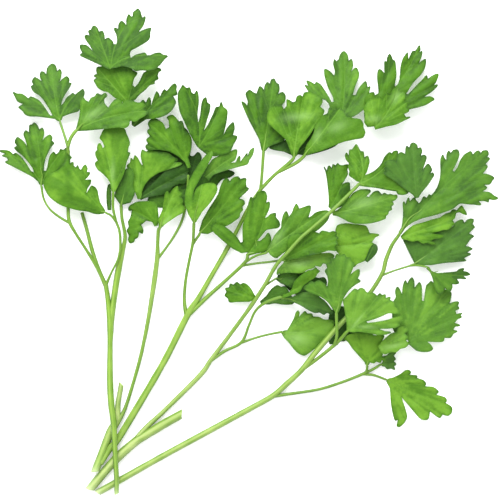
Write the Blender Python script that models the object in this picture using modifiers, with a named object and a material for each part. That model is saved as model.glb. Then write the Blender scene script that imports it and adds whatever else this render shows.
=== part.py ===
"""A loose bunch of flat-leaf parsley: four cut sprigs fanned out on a table.

Every sprig is a branching stalk, and every leaf is a thin curved sheet of its own.
The bunch lies on z = 0, with its cut ends at the lower left (-X, -Y) and its leaves
spread towards +Y and +X. The tables below are in millimetres; the model is in metres.
"""

import math

import bmesh
import bpy
from mathutils import Vector

MM = 0.001
LEAF_THICKNESS = 0.5
LEAF_CUTS_ALONG = 2
LEAF_CUTS_ACROSS = 1
PETIOLE_HALF_WIDTH = 0.8
STALK_SIDES_RESOLUTION = 2
BUNCH = "flat_leaf_parsley_bunch"

LEAF_GREEN = (0.09, 0.30, 0.03, 1.0)
PALE_GREEN = (0.25, 0.48, 0.08, 1.0)
DARK_GREEN = (0.03, 0.14, 0.02, 1.0)
STALK_GREEN = (0.36, 0.62, 0.10, 1.0)

# Each stalk is a list of branches, and a branch is a route of (x, y, z, radius).
STALKS = {
    "stalk_a": [
        [(-58.9, -108.6, 4.8, 1.0), (-59.0, -100, 5.0, 1.1), (-59.5, -91.8, 5.2, 1.1),
         (-60.2, -77.4, 5.4, 1.3), (-61.4, -68, 4.8, 1.4), (-62.0, -57, 3.0, 1.4),
         (-62.0, -42, 1.8, 1.2), (-61.9, -32, 1.8, 1.5), (-63.0, -21, 1.8, 1.1),
         (-64.0, -14.4, 2.2, 1.0)],
        [(-61.8, -34, 1.8, 1.3), (-60.4, -22, 1.8, 1.3), (-58.6, -10, 2.0, 1.4), (-56.6, 0, 2.4, 1.2),
         (-55.2, 7, 2.4, 0.8), (-56.6, 15, 2.4, 0.7), (-57.0, 20.5, 2.4, 0.7)],
        [(-64.0, -15, 2.2, 0.9), (-68, -6.6, 2.8, 0.8), (-72.9, 1.5, 4.2, 0.7), (-77, 8, 6.2, 0.7),
         (-80.0, 13.5, 8.4, 0.8), (-80.6, 19, 10.2, 0.8), (-80.4, 34, 11.4, 0.8),
         (-80.6, 48.0, 9.8, 0.8)],
        [(-80.0, 13.0, 8.3, 0.6), (-84.4, 15.6, 8.0, 0.6), (-88.8, 19.2, 7.0, 0.5),
         (-91.6, 24.0, 6.0, 0.5), (-92.6, 29.4, 5.4, 0.5)],
        [(-80.5, 47.0, 9.9, 0.7), (-82.2, 52.4, 8.2, 0.6), (-84.1, 57.9, 6.4, 0.5)],
        [(-80.5, 47.0, 9.9, 0.8), (-79.2, 51.0, 9.8, 0.8), (-77.2, 53.9, 9.6, 0.8)],
        [(-64.0, -15, 2.2, 1.0), (-67.4, -7, 2.2, 0.9), (-70.2, 1.5, 2.0, 0.9), (-72.4, 10, 2.0, 0.8),
         (-74.6, 17.6, 2.0, 0.8)],
        [(-63.9, -15, 2.2, 0.7), (-61.2, -9, 3.9, 0.5), (-58.4, -3.4, 4.9, 0.5), (-57.3, 2, 5.0, 0.6),
         (-57.6, 9, 5.0, 0.6), (-59.2, 14.0, 5.4, 0.6), (-60.5, 20, 6.0, 0.6), (-60.4, 26.0, 6.6, 0.6)],
        [(-59.2, 13.6, 5.4, 0.6), (-61.2, 16.2, 6.4, 0.5), (-63.4, 17.4, 7.2, 0.5)],
    ],
    "stalk_b": [
        [(-68.7, -98.6, 3.9, 1.7), (-65.6, -90.4, 2.6, 1.7), (-62.0, -81.2, 1.9, 1.8),
         (-59.2, -75.8, 1.8, 1.6), (-58.4, -68, 1.8, 1.1), (-56.9, -59.3, 2.0, 1.1)],
        [(-59.2, -77.6, 1.9, 1.2), (-55.4, -70.6, 1.6, 0.8), (-51.8, -59.5, 1.5, 0.75),
         (-48.2, -46.5, 1.4, 0.8), (-45.0, -31, 1.3, 0.9), (-42.0, -12, 1.6, 1.1),
         (-40.8, -2, 2.2, 1.0), (-40.6, 4, 3.0, 0.8), (-40.2, 9.6, 4.0, 0.8)],
        [(-41.0, -3.4, 2.1, 0.7), (-37.6, 0.8, 2.1, 0.6), (-33.0, 7.6, 2.0, 0.6),
         (-29.4, 15.0, 1.8, 0.6), (-27.4, 25, 2.4, 0.6), (-26.8, 34.4, 4.6, 0.6)],
        [(-66.2, -95.0, 3.3, 1.3), (-62.4, -88.8, 2.2, 1.5), (-58.5, -84.2, 1.9, 1.6),
         (-50, -70.2, 1.8, 1.6), (-37.4, -48.6, 1.7, 1.5), (-27.2, -28.4, 1.7, 1.5),
         (-22.0, -20.2, 1.6, 1.2), (-15.0, -8.2, 1.7, 1.1), (-8.4, 3.2, 2.0, 1.1),
         (-4.6, 10.4, 2.4, 0.9), (0.6, 20.4, 3.8, 0.9), (6.0, 28.6, 5.0, 0.9)],
        [(-27.6, -29.4, 1.8, 1.0), (-28.6, -22, 2.0, 0.8), (-28.0, -12.6, 2.4, 0.7),
         (-26.2, -3, 3.6, 0.7), (-24.8, 3.6, 5.6, 0.7), (-24.4, 8.2, 7.8, 0.7), (-24.2, 12.6, 9.4, 0.7)],
        [(-24.9, 3.0, 5.5, 0.6), (-23.2, 5.8, 5.4, 0.6), (-21.8, 7.8, 5.4, 0.6)],
        [(-27.4, -29.0, 1.8, 1.0), (-18.5, -20.4, 1.8, 0.9), (-9.6, -12.4, 2.2, 0.8),
         (-2.4, -5.8, 4.2, 0.8), (-0.6, -3.6, 5.6, 0.7), (-0.2, -1.8, 6.4, 0.7)],
        [(-1.6, -5.0, 4.8, 0.6), (1.8, -2.6, 6.2, 0.5), (5.0, -1.2, 7.2, 0.5), (8.2, -0.4, 8.0, 0.5)],
        [(-3.0, -6.2, 3.9, 0.6), (3.0, -5.2, 4.2, 0.5), (10.0, -4.4, 5.0, 0.5), (15.4, -3.6, 6.2, 0.5)],
        [(5.6, 28.0, 5.0, 0.8), (6.2, 34, 5.4, 0.7), (6.9, 44.6, 6.0, 0.7)],
        [(5.6, 28.0, 5.0, 0.8), (11.6, 34.2, 6.0, 0.8), (18.8, 40.2, 7.6, 0.8), (20.2, 41.8, 8.4, 0.7)],
        [(13.0, 35.4, 6.3, 0.7), (21.4, 39.8, 8.0, 0.8), (25.2, 43.0, 9.6, 0.7)],
    ],
    "stalk_c": [
        [(-71.2, -106.7, 1.7, 1.7), (-65.2, -99.6, 1.7, 1.7), (-58.5, -91.8, 1.7, 1.7),
         (-50.4, -84.8, 1.7, 1.6), (-47.0, -82.6, 1.7, 1.5), (-38.0, -77.0, 1.7, 1.6),
         (-29.4, -72.2, 1.8, 1.6)],
        [(-50.8, -84.6, 1.7, 1.2), (-45.5, -78.6, 1.5, 1.1), (-37.4, -71.1, 1.4, 1.0),
         (-21.6, -55.4, 1.4, 1.1), (-16.6, -48.4, 1.6, 1.0), (-8.0, -37, 2.8, 0.9),
         (1.2, -24.4, 5.4, 0.9), (7.6, -14.6, 8.6, 0.9), (12.6, -5.9, 11.4, 0.8),
         (16.6, -1.4, 12.6, 0.8), (23.0, 5.8, 13.0, 0.8), (27.8, 10.0, 13.0, 0.8),
         (36.4, 17.4, 13.2, 0.8), (43.0, 23.8, 12.8, 0.8), (48.9, 29.6, 12.4, 0.7)],
        [(7.0, -15.6, 8.1, 0.5), (9.8, -13.6, 8.0, 0.45), (12.3, -12.0, 7.6, 0.45)],
        [(-17.4, -49.4, 1.6, 0.8), (-10.6, -44.6, 1.5, 0.7), (-3.0, -40.6, 1.5, 0.7),
         (0.4, -33, 3.2, 0.6), (3.4, -26.4, 5.0, 0.6), (8.0, -22.6, 6.6, 0.7), (14.6, -20.2, 7.8, 0.7)],
        [(-3.6, -41.0, 1.5, 0.6), (4.0, -38.4, 1.6, 0.55), (10.4, -36.8, 2.0, 0.55),
         (14.8, -36.0, 2.4, 0.6)],
    ],
    "stalk_d": [
        [(-67.6, -108.2, 1.5, 1.4), (-58.0, -102.8, 1.5, 1.4), (-39.6, -92.4, 1.4, 1.3),
         (-21.6, -82.6, 1.4, 1.3), (0.9, -70.4, 1.4, 1.2), (11.0, -64.7, 1.5, 1.2),
         (17.4, -59.2, 2.4, 1.2), (24.0, -53.0, 4.4, 1.2), (30.0, -45.4, 6.2, 1.2),
         (38.0, -36.0, 7.2, 1.2), (43.8, -29.8, 7.2, 1.1), (50.0, -23.4, 6.8, 1.0),
         (55.4, -17.4, 6.8, 0.9), (60.2, -9.4, 7.6, 0.9), (61.8, -3.4, 8.0, 0.9), (64.4, 3.0, 8.6, 0.8),
         (67.3, 7.3, 9.2, 0.7)],
        [(23.4, -53.4, 4.3, 0.9), (30.4, -48.4, 5.6, 0.8), (39.4, -41.0, 8.4, 0.8),
         (44.0, -35.8, 11.4, 0.7)],
        [(38.6, -41.8, 8.2, 0.7), (39.7, -37.6, 10.4, 0.7), (39.6, -32, 11.2, 0.7),
         (39.5, -27.6, 11.4, 0.7)],
        [(60.0, -10.4, 7.4, 0.6), (66.0, -8.2, 6.8, 0.45), (73.0, -6.0, 6.2, 0.5),
         (74.0, -5.6, 6.0, 0.5)],
        [(72.6, -6.2, 6.2, 0.45), (76.0, -6.0, 8.0, 0.45), (79.6, -6.6, 9.6, 0.45)],
        [(10.4, -65.0, 1.5, 0.8), (18.0, -63.9, 1.2, 0.7), (31.5, -61.8, 1.0, 0.65),
         (42.0, -58.6, 1.0, 0.65), (51.4, -54.9, 1.4, 0.7), (53.2, -53.6, 2.2, 0.6),
         (53.5, -51.4, 3.4, 0.6)],
        [(51.6, -54.9, 1.4, 0.6), (56.4, -52.6, 1.7, 0.6), (59.6, -50.6, 2.0, 0.5)],
        [(51.4, -54.9, 1.4, 0.6), (56.7, -55.4, 1.0, 0.55), (61.6, -57.2, 0.7, 0.5)],
    ],
}

# A leaf: its base, its outline from the left side of the base round to the right, its
# heights at base and tip, how far its left side is raised, how far its sides turn up,
# how far its middle arches up, and its colour.
LEAVES = {
    "leaf_left_low": dict(
        base=(-92.8, 30.2),
        outline=[(-99.1, 35.1), (-107.5, 39.4), (-109, 40.4), (-107.2, 42.3), (-111.4, 45.6), (-105.2, 44.2),
                 (-98.4, 38.9), (-96.2, 35.1), (-98.9, 39.4), (-104.5, 45), (-103.9, 47.4), (-104.5, 49.1),
                 (-103.5, 51.1), (-98.7, 47.7), (-100.6, 53.4), (-99.9, 54.5), (-98.1, 53.6), (-98.2, 56.6),
                 (-95.9, 58), (-93.5, 55.2), (-91.3, 54.8), (-92, 48.8), (-90.8, 51.3), (-88.6, 52.3),
                 (-86.7, 49.1), (-89.2, 41.5), (-90.7, 36.9), (-88.9, 42.1), (-86.2, 44.3), (-85.2, 43.9),
                 (-81.4, 46.3), (-80.4, 43), (-86.6, 34.4)],
        heights=(5.0, 1.0), left_up=-1.0, sides_up=0.4, arch=0.8, colour="green"),
    "leaf_left_high": dict(
        base=(-84.3, 58.8),
        outline=[(-90, 60.5), (-99.1, 61.1), (-102.8, 64.7), (-101.3, 65.8), (-103.7, 68), (-105.2, 71.4),
                 (-98.1, 69), (-95.4, 69.3), (-91, 66.4), (-88.3, 61.8), (-91.6, 66.9), (-96.9, 73),
                 (-97, 76.1), (-95.6, 78.2), (-92.4, 76.1), (-93, 80), (-90.6, 79.9), (-90.2, 82.6),
                 (-87.9, 84.3), (-85.6, 82.2), (-83.7, 81.7), (-83.9, 76.1), (-80.8, 78.6), (-78.9, 75.5),
                 (-81.3, 70.7), (-83.2, 65.3), (-80, 70.4), (-77.8, 70.8), (-73.6, 72.8), (-72.6, 69),
                 (-74.6, 64.6), (-79.2, 61.9)],
        heights=(6.2, 0.9), left_up=-0.6, sides_up=-0.4, arch=1.0, colour="green"),
    "leaf_top_left": dict(
        base=(-61.3, 81.6),
        outline=[(-65.7, 83.1), (-72.7, 86.1), (-74.7, 87.4), (-73.8, 88.6), (-74.6, 91.4), (-72.2, 92),
                 (-70.1, 90.4), (-72.6, 96), (-71.1, 96.3), (-70.6, 99), (-68.6, 100.7), (-65.9, 98),
                 (-64.2, 98), (-63.3, 95), (-61, 94.6), (-58.8, 92.9), (-59.6, 99.9), (-57.8, 101.7),
                 (-56.2, 103.1), (-54.3, 101.7), (-53.4, 106), (-51.5, 105.2), (-48.9, 108.9), (-47.3, 105.2),
                 (-45.6, 105.2), (-46.8, 100.1), (-43.3, 100), (-43.6, 95), (-50, 90.4), (-52.3, 87),
                 (-46.8, 88.5), (-44.7, 87.8), (-39.2, 88.8), (-35.4, 87.2), (-38.7, 83.1), (-50, 80.4),
                 (-57, 81.3)],
        heights=(14.8, 7.0), left_up=1.0, sides_up=-0.6, arch=1.0, colour="green"),
    "leaf_top_left_under": dict(
        base=(-53.2, 66.4),
        outline=[(-57.6, 69), (-66.6, 73.2), (-68.4, 76.4), (-68.2, 78.6), (-66.2, 82.4), (-58, 83),
                 (-52, 82), (-49.3, 78.6), (-50.6, 73.9), (-46.8, 79.6), (-42, 83), (-38.3, 81.4),
                 (-39.8, 77.2), (-44.1, 72.9), (-50.2, 67.6)],
        heights=(8.8, 9.6), left_up=-0.4, sides_up=0.6, arch=0.6, colour="pale"),
    "leaf_left_glossy": dict(
        base=(-76.4, 54.6),
        outline=[(-75.4, 61.5), (-74.8, 66.6), (-73.2, 69.6), (-71.2, 66.8), (-69.6, 67.6), (-67.3, 70.7),
                 (-63.5, 71.2), (-62.3, 69.2), (-64, 66.4), (-61.4, 64.6), (-55, 66.2), (-47.3, 66.5),
                 (-44.6, 63.4), (-45.1, 58.9), (-50, 55), (-53.4, 51.6), (-57, 55.4), (-65.1, 54.6),
                 (-72, 54)],
        heights=(9.6, 11.2), left_up=-1.2, sides_up=-0.6, arch=1.0, colour="pale"),
    "leaf_left_inner": dict(
        base=(-64.2, 17.9),
        outline=[(-66.8, 16.4), (-77.6, 19.2), (-88.4, 24.2), (-91.4, 31), (-87, 36.6), (-83, 40.4),
                 (-79.4, 41.4), (-76.2, 38.4), (-74.8, 36.7), (-72.6, 38.7), (-70.4, 35.5), (-71.4, 30),
                 (-70.3, 29.1), (-67.3, 27.5), (-65.4, 21.6)],
        heights=(7.4, 8.4), left_up=0.6, sides_up=-0.4, arch=0.9, colour="green"),
    "leaf_upright": dict(
        base=(-60.3, 27),
        outline=[(-63, 32.6), (-68.1, 38.6), (-66.8, 40.6), (-68, 44), (-66.5, 48.6), (-64.3, 46.4),
                 (-66, 52), (-61.6, 56.4), (-56.4, 56), (-52.8, 50.6), (-53, 45.3), (-52.3, 43.8),
                 (-54.2, 36.4), (-56.6, 31.8)],
        heights=(6.8, 7.8), left_up=0, sides_up=1.0, arch=0.3, colour="pale"),
    "leaf_dark_behind_upright": dict(
        base=(-56.9, 21.4),
        outline=[(-60, 25), (-58.8, 31), (-56, 36), (-53, 38), (-51.2, 35), (-51.6, 30), (-50.8, 26),
                 (-52.6, 22.2)],
        heights=(3.4, 5.0), left_up=0, sides_up=0, arch=0, colour="dark"),
    "leaf_dark_sliver": dict(
        base=(-62.2, 18.8),
        outline=[(-63.5, 22), (-63.5, 27), (-62.3, 30.6), (-61.5, 28), (-61.5, 22)],
        heights=(3.6, 4.0), left_up=0, sides_up=0, arch=0, colour="dark"),
    "leaf_dark_underneath": dict(
        base=(-30, 17.6),
        outline=[(-37, 19.6), (-45, 21.6), (-44, 26), (-38, 31), (-30, 34), (-26, 33), (-25.6, 26),
                 (-27, 20)],
        heights=(0.25, 0.25), left_up=0, sides_up=0, arch=0, colour="dark"),
    "leaf_mid_reaching_up": dict(
        base=(-51.4, 56.4),
        outline=[(-52.2, 61), (-51, 66), (-47.2, 68.2), (-44, 69.1), (-42.8, 67.2), (-40.4, 71.6),
                 (-39.3, 70.2), (-37, 72.9), (-32.4, 75.4), (-31.5, 73.6), (-32.6, 66.7), (-34.2, 61.4),
                 (-38, 59.7), (-46.4, 57)],
        heights=(7.6, 6.6), left_up=-0.4, sides_up=0.3, arch=0.2, colour="green"),
    "leaf_mid_low": dict(
        base=(-48.8, 23.8),
        outline=[(-52.5, 29.1), (-54.3, 36.6), (-53.2, 41.6), (-50.6, 43.2), (-47, 38.3), (-48, 42.6),
                 (-46.7, 46), (-44, 45), (-36, 44), (-31, 41.2), (-27.6, 38.2), (-28.8, 31.8), (-35.3, 27.5),
                 (-41, 25.1)],
        heights=(3.2, 3.8), left_up=-0.3, sides_up=0.5, arch=0.4, colour="pale"),
    "leaf_mid_bright": dict(
        base=(-26.4, 37.8),
        outline=[(-31.5, 41.2), (-40, 43.8), (-45.6, 45.8), (-45.4, 50.6), (-44.4, 52), (-45.2, 55),
                 (-43.8, 59.4), (-39.4, 59), (-36.6, 57), (-35.4, 60.4), (-31.6, 60.6), (-27.6, 56),
                 (-24.6, 52), (-25.5, 45.1), (-27, 42.6)],
        heights=(5.0, 6.0), left_up=0.2, sides_up=-0.4, arch=0.2, colour="green"),
    "leaf_mid_fan": dict(
        base=(-22.2, 46.6),
        outline=[(-26, 53), (-29.9, 61), (-31.2, 68), (-30.9, 72.9), (-28.9, 74.5), (-26.6, 72.9),
                 (-24.4, 70.4), (-22.9, 71.8), (-21.8, 66), (-18.6, 68.9), (-18, 65.6), (-17.6, 62.6),
                 (-14.8, 64.8), (-12.2, 67.4), (-10.8, 64.6), (-9.1, 63.3), (-9.4, 58), (-10.4, 52.9),
                 (-6.7, 57.6), (-5.8, 54.6), (-6.6, 52), (-4.6, 51.3), (-8.3, 44.8), (-14.8, 42.8)],
        heights=(9.2, 9.8), left_up=0.6, sides_up=-0.8, arch=0.6, colour="green"),
    "leaf_centre_folded": dict(
        base=(-24.0, 13.4),
        outline=[(-26.6, 16.7), (-28.2, 22), (-28, 26.4), (-26.4, 31), (-21.8, 39), (-17.7, 44.5),
                 (-15.8, 42.8), (-19.6, 34.4), (-22.6, 29.8), (-24, 25), (-21.8, 30), (-14.6, 30.4),
                 (-13.4, 28), (-16.4, 21.6), (-19.8, 17.8)],
        heights=(10.4, 12.4), left_up=-0.8, sides_up=-0.6, arch=0.8, colour="pale"),
    "leaf_centre_serrated": dict(
        base=(-19.0, 33.4),
        outline=[(-17.6, 39), (-15, 41.8), (-8.8, 45), (-4.8, 45.6), (-5.2, 42), (-7.2, 40), (-4.6, 39.9),
                 (-3.2, 42.6), (-2.4, 40.6), (-0.2, 43.8), (2.8, 46.4), (2.4, 43), (0.2, 38.9), (-4.5, 37.8),
                 (-10.4, 36.2), (-15.6, 34.2), (-17.6, 31.8)],
        heights=(7.8, 6.8), left_up=0.2, sides_up=0.2, arch=0.2, colour="pale"),
    "leaf_centre_right": dict(
        base=(-21.4, 8.8),
        outline=[(-20.6, 14), (-15.6, 22), (-12.6, 27.3), (-11, 31), (-8.5, 32.4), (-4.2, 33.2),
                 (-0.8, 32.9), (-0.4, 29.7), (0.5, 28.1), (-2.6, 23.6), (-1, 22.1), (-1.8, 19.2),
                 (-4.5, 15.1), (-8.4, 12.2), (-13.8, 10), (-18, 8)],
        heights=(5.8, 7.6), left_up=0.6, sides_up=-0.2, arch=0.4, colour="green"),
    "leaf_centre_pale_upright": dict(
        base=(-39.3, 11.2),
        outline=[(-38.9, 16), (-37.4, 21), (-36.8, 25.4), (-35.7, 27), (-34.9, 25.6), (-31.4, 29.1),
                 (-30.2, 26.4), (-28.9, 20.5), (-29.5, 16.7), (-34, 14.6), (-37.4, 12.6)],
        heights=(5.6, 7.0), left_up=0.2, sides_up=0.2, arch=0.2, colour="pale"),
    "leaf_hanging_bright": dict(
        base=(-41.2, 11.6),
        outline=[(-44.4, 13.2), (-47.2, 11.4), (-46.8, 9.6), (-48.8, 8.2), (-49, 5.9), (-52.7, 3.7),
                 (-54.3, 8.6), (-53.2, 14), (-52.2, 18.8), (-53.6, 20.6), (-50, 22.3), (-44, 22.6),
                 (-40.2, 20.4), (-40.0, 15)],
        heights=(4.6, 1.9), left_up=-0.8, sides_up=-0.2, arch=0.2, colour="green"),
    "leaf_trefoil_centre": dict(
        base=(0, -0.9),
        outline=[(-3.2, -1.1), (-7.5, 0.6), (-12, 4.4), (-16.4, 9), (-16, 13.6), (-10.6, 12.4), (-6.6, 8.4),
                 (-2.6, 3.6), (-2.3, 8), (-1.6, 13.5), (0.4, 20), (1.7, 24.5), (3.2, 21.6), (5.6, 24.4),
                 (7.6, 27), (8.6, 22.4), (9.7, 22), (8.8, 17.4), (7.8, 15.6), (12.6, 17), (13, 15),
                 (15.2, 11), (13.4, 5), (9, 0.6), (4.3, -0.6)],
        heights=(6.8, 8.2), left_up=0.2, sides_up=-0.4, arch=0.4, colour="green"),
    "leaf_pale_under_stem": dict(
        base=(8.7, 0.2),
        outline=[(10.8, 4.3), (14.4, 8.6), (15.6, 15), (17.3, 17.8), (18.4, 16.2), (20.8, 20.3),
                 (22.1, 21.3), (23, 19.4), (27.8, 20.5), (28, 18), (27.3, 15.4), (32.4, 18.2), (35.8, 18.4),
                 (35, 13.4), (29, 7.6), (22, 3), (15.6, -0.6)],
        heights=(8.6, 9.6), left_up=0.2, sides_up=-0.3, arch=0.4, colour="pale"),
    "leaf_small_round": dict(
        base=(3.3, -20.6),
        outline=[(0.4, -22.3), (-5.4, -22.5), (-8.6, -22.4), (-10.3, -19.4), (-10, -15.3), (-7.5, -14.4),
                 (-5.1, -13.5), (-3.2, -14.4), (0.4, -15), (2.2, -17.9)],
        heights=(3.4, 3.0), left_up=0, sides_up=-0.4, arch=0.4, colour="green"),
    "leaf_folded_strip": dict(
        base=(15.6, -19.9),
        outline=[(18.4, -17.6), (20.5, -14), (23.2, -10.8), (27, -8.1), (30.3, -6.8), (32.2, -8.4),
                 (30.3, -11.3), (24.9, -15.1), (22.7, -18.3), (19.4, -19.3)],
        heights=(9.0, 9.8), left_up=0.4, sides_up=0, arch=0.3, colour="green"),
    "leaf_dark_drooping": dict(
        base=(15.4, -20.8),
        outline=[(19.6, -19.9), (25.4, -17.9), (30.3, -18.9), (34.2, -21.6), (37.2, -25.2), (38.2, -28),
                 (35.1, -28.2), (30, -27.2), (24.6, -24.6), (19.6, -22.4)],
        heights=(7.4, 6.6), left_up=0.3, sides_up=-0.4, arch=0.3, colour="dark"),
    "leaf_dark_curled": dict(
        base=(5.6, -22.8),
        outline=[(8.6, -18.9), (10.8, -16.2), (13.4, -14.7), (16.4, -15.7), (18.2, -18.4), (20.4, -21.6),
                 (20.8, -23.4), (16.2, -23.9), (9.6, -23.6)],
        heights=(3.2, 3.0), left_up=0.2, sides_up=0, arch=0.4, colour="dark"),
    "leaf_dark_inner": dict(
        base=(12.9, -11.8),
        outline=[(14.2, -9.8), (18.4, -8.6), (23.4, -9.2), (21.8, -12.4), (19.4, -16.4), (15.4, -14.4)],
        heights=(5.2, 4.4), left_up=0, sides_up=0, arch=0.2, colour="dark"),
    "leaf_lower_mid": dict(
        base=(15.4, -36),
        outline=[(18.1, -34.5), (21.1, -29.1), (22.5, -26.3), (23.3, -28.3), (26.8, -26.5), (30, -29.1),
                 (34, -30.2), (37.8, -31.4), (37.2, -35.6), (32.4, -41.5), (28, -45), (23.7, -45.6),
                 (19.6, -43), (16.7, -38.8)],
        heights=(2.6, 2.0), left_up=0.6, sides_up=-0.3, arch=0.5, colour="pale"),
    "leaf_lower_big_pale": dict(
        base=(44.7, -35.2),
        outline=[(43.6, -30), (42.6, -22.6), (44.4, -18.9), (48, -17.2), (53.4, -18.2), (59.3, -18.3),
                 (61.5, -19.4), (65, -22.4), (68.6, -26), (68.2, -28.6), (61.9, -28.2), (52.9, -31.2),
                 (61.8, -29.8), (66.7, -30.5), (65.4, -33.6), (59.3, -34.6), (63.4, -35.7), (57.5, -37.2),
                 (50.5, -36.3)],
        heights=(12.0, 13.0), left_up=0.4, sides_up=-0.8, arch=1.2, colour="pale"),
    "leaf_lower_under_pale": dict(
        base=(53.4, -50.6),
        outline=[(51.4, -48.3), (47.6, -44.6), (44.4, -40.4), (44, -38), (47.6, -36.6), (52.4, -36.2),
                 (58, -38), (60.4, -42), (60.6, -46), (61.4, -48.6), (57.8, -49.8)],
        heights=(4.2, 7.2), left_up=0.4, sides_up=-0.4, arch=0.4, colour="green"),
    "leaf_lower_dark": dict(
        base=(60.1, -50.5),
        outline=[(61.4, -46.8), (64.2, -45.8), (66.1, -45.4), (66.4, -48), (66.6, -50.4), (66.1, -52.8),
                 (62.8, -52.2)],
        heights=(2.4, 2.0), left_up=0, sides_up=0, arch=0.2, colour="dark"),
    "leaf_lower_right": dict(
        base=(62.6, -57.6),
        outline=[(65.4, -56.4), (68.8, -54.7), (70.6, -53.2), (72.4, -53), (73.4, -53.9), (72.8, -55.2),
                 (76.3, -55.6), (76, -56.6), (79, -57.6), (80.2, -59.1), (79.7, -60.4), (83.4, -60.7),
                 (85.9, -62.8), (84.8, -64.1), (88.8, -65.4), (89.6, -66.8), (88.9, -67.8), (91.8, -69.8),
                 (91.6, -72.4), (89.9, -73.7), (87.6, -73.2), (86.2, -74.7), (81.9, -71.8), (81.4, -74.6),
                 (80.5, -75.6), (77.7, -75.2), (73.4, -70.4), (69.1, -65.3), (71.6, -73.6), (70.5, -76.6),
                 (68, -78.8), (66.8, -78.1), (67.4, -75.6), (66, -75.8), (64.4, -69), (63.8, -61.4)],
        heights=(0.25, 0.25), left_up=0, sides_up=0, arch=0, colour="green"),
    "leaf_right_dark": dict(
        base=(74.8, -5.2),
        outline=[(74.2, -2.4), (71.6, 2.6), (70.6, 6.4), (80, 9.6), (88, 10.4), (94.1, 12.9), (96.6, 14.1),
                 (101.6, 14.2), (102.2, 10.8), (100.5, 8), (101.8, 6.9), (98.2, 2.6), (101.3, 1.1),
                 (99.7, 0), (100.3, -1.2), (97.9, -3.5), (88, -4.9), (80.3, -5.9)],
        heights=(5.8, 0.9), left_up=0.6, sides_up=-0.4, arch=0.8, colour="dark"),
    "leaf_right_small": dict(
        base=(80.3, -6.9),
        outline=[(84.6, -9.3), (91, -8.9), (95.6, -7.3), (97.5, -7.7), (100.1, -10.2), (97.2, -10.9),
                 (97.9, -12.2), (93.8, -12.2), (94.6, -14.2), (91, -15), (90.6, -18), (85.6, -18.6),
                 (82.6, -13)],
        heights=(10.0, 3.0), left_up=-0.2, sides_up=-0.3, arch=0.4, colour="green"),
    "leaf_right_big": dict(
        base=(67.9, 8.4),
        outline=[(68.8, 14.1), (69.8, 22.2), (70.9, 21.2), (71.6, 23.8), (73.9, 24.3), (75.4, 22.2),
                 (78.2, 24.3), (81, 25.6), (83.6, 26.4), (85.9, 31.9), (86.4, 41), (87.6, 43.3), (88.7, 41.4),
                 (90.3, 44.9), (93.6, 45.8), (95.1, 43.4), (92.6, 36.3), (95.9, 41.1), (98.2, 44.2),
                 (100.4, 44.9), (103.3, 45.2), (107.8, 45.3), (108.9, 42.1), (107.6, 40.6), (107.8, 38.1),
                 (106.6, 35.5), (110.7, 33), (109.4, 30.9), (107.3, 29.9), (106.1, 27.1), (110.4, 26.3),
                 (112.5, 24), (108.4, 22.2), (104.8, 21), (96.2, 21.7), (88, 17.1), (77.8, 14.6), (71.6, 12)],
        heights=(10.2, 1.6), left_up=-0.4, sides_up=-0.8, arch=1.4, colour="green"),
    "leaf_right_bright": dict(
        base=(68.6, 6.4),
        outline=[(72.7, 10.6), (80.3, 14.1), (85.4, 15.6), (91.2, 18.2), (94.6, 20), (98.6, 18.4),
                 (98.4, 16.6), (94.6, 17), (93.1, 15.1), (92.3, 12.6), (90.5, 10.5), (82.3, 8.5), (87.2, 7.2),
                 (81.8, 4.9), (83.9, 3.6), (80.3, 3.9), (74.7, 4.9)],
        heights=(8.4, 4.4), left_up=0.4, sides_up=-0.3, arch=0.4, colour="pale"),
    "leaf_right_dark_fan": dict(
        base=(75.5, 24.1),
        outline=[(72.1, 26.8), (67.6, 30.4), (61.6, 35.4), (62, 37.3), (61, 38.6), (62.4, 40.4), (66, 41.2),
                 (67.6, 44.4), (70.1, 44.2), (70.6, 47), (72.6, 47.9), (74.2, 48.5), (76, 46.6), (77.8, 45),
                 (77.2, 43.2), (79.4, 42.6), (79.6, 39.6), (78.5, 37), (80.4, 38.8), (81.8, 37), (83.1, 34.5),
                 (81.8, 31.9), (77.4, 26)],
        heights=(12.2, 14.8), left_up=0.6, sides_up=-0.4, arch=0.8, colour="dark"),
    "leaf_top_centre": dict(
        base=(6.9, 45.3),
        outline=[(5.0, 51), (2, 56.7), (-0.7, 61.5), (-2.7, 67.2), (-0.4, 65.6), (-0.8, 70.7), (0.5, 72.6),
                 (3.9, 70.4), (5.5, 74.5), (7.4, 73.1), (9, 76.4), (11.7, 77.7), (14.4, 74), (13.9, 71.6),
                 (16, 71.8), (17.1, 69), (15.5, 65.2), (17.2, 62), (17, 56), (15.6, 50.6), (10, 47.8)],
        heights=(6.4, 0.8), left_up=0.8, sides_up=-0.4, arch=0.8, colour="green"),
    "leaf_top_wedge": dict(
        base=(20.6, 42.7),
        outline=[(17.6, 49), (13.9, 54), (9, 60), (12.6, 63.2), (17.4, 67.5), (19.8, 66.9), (23.3, 69.6),
                 (27.1, 71.8), (31.4, 70), (34.4, 66), (34.2, 61.4), (30, 55.6), (25.6, 49)],
        heights=(9.0, 10.6), left_up=-0.2, sides_up=0.4, arch=0.6, colour="pale"),
    "leaf_top_big_pale": dict(
        base=(25.6, 43.8),
        outline=[(26.3, 48.1), (29.5, 53.5), (31.6, 58.8), (36.5, 63.6), (43, 62.6), (47, 59.4),
                 (51.6, 58.4), (52.3, 55.6), (52.4, 52.4), (51.1, 50.8), (41.4, 48.1), (33.3, 45.4)],
        heights=(10.4, 12.2), left_up=0.4, sides_up=-0.8, arch=1.2, colour="pale"),
    "leaf_top_trefoil": dict(
        base=(41.6, 58.2),
        outline=[(36.2, 62.6), (31.6, 68.4), (27.2, 72.2), (25.5, 74.7), (26.7, 76.6), (30.6, 76),
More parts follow.
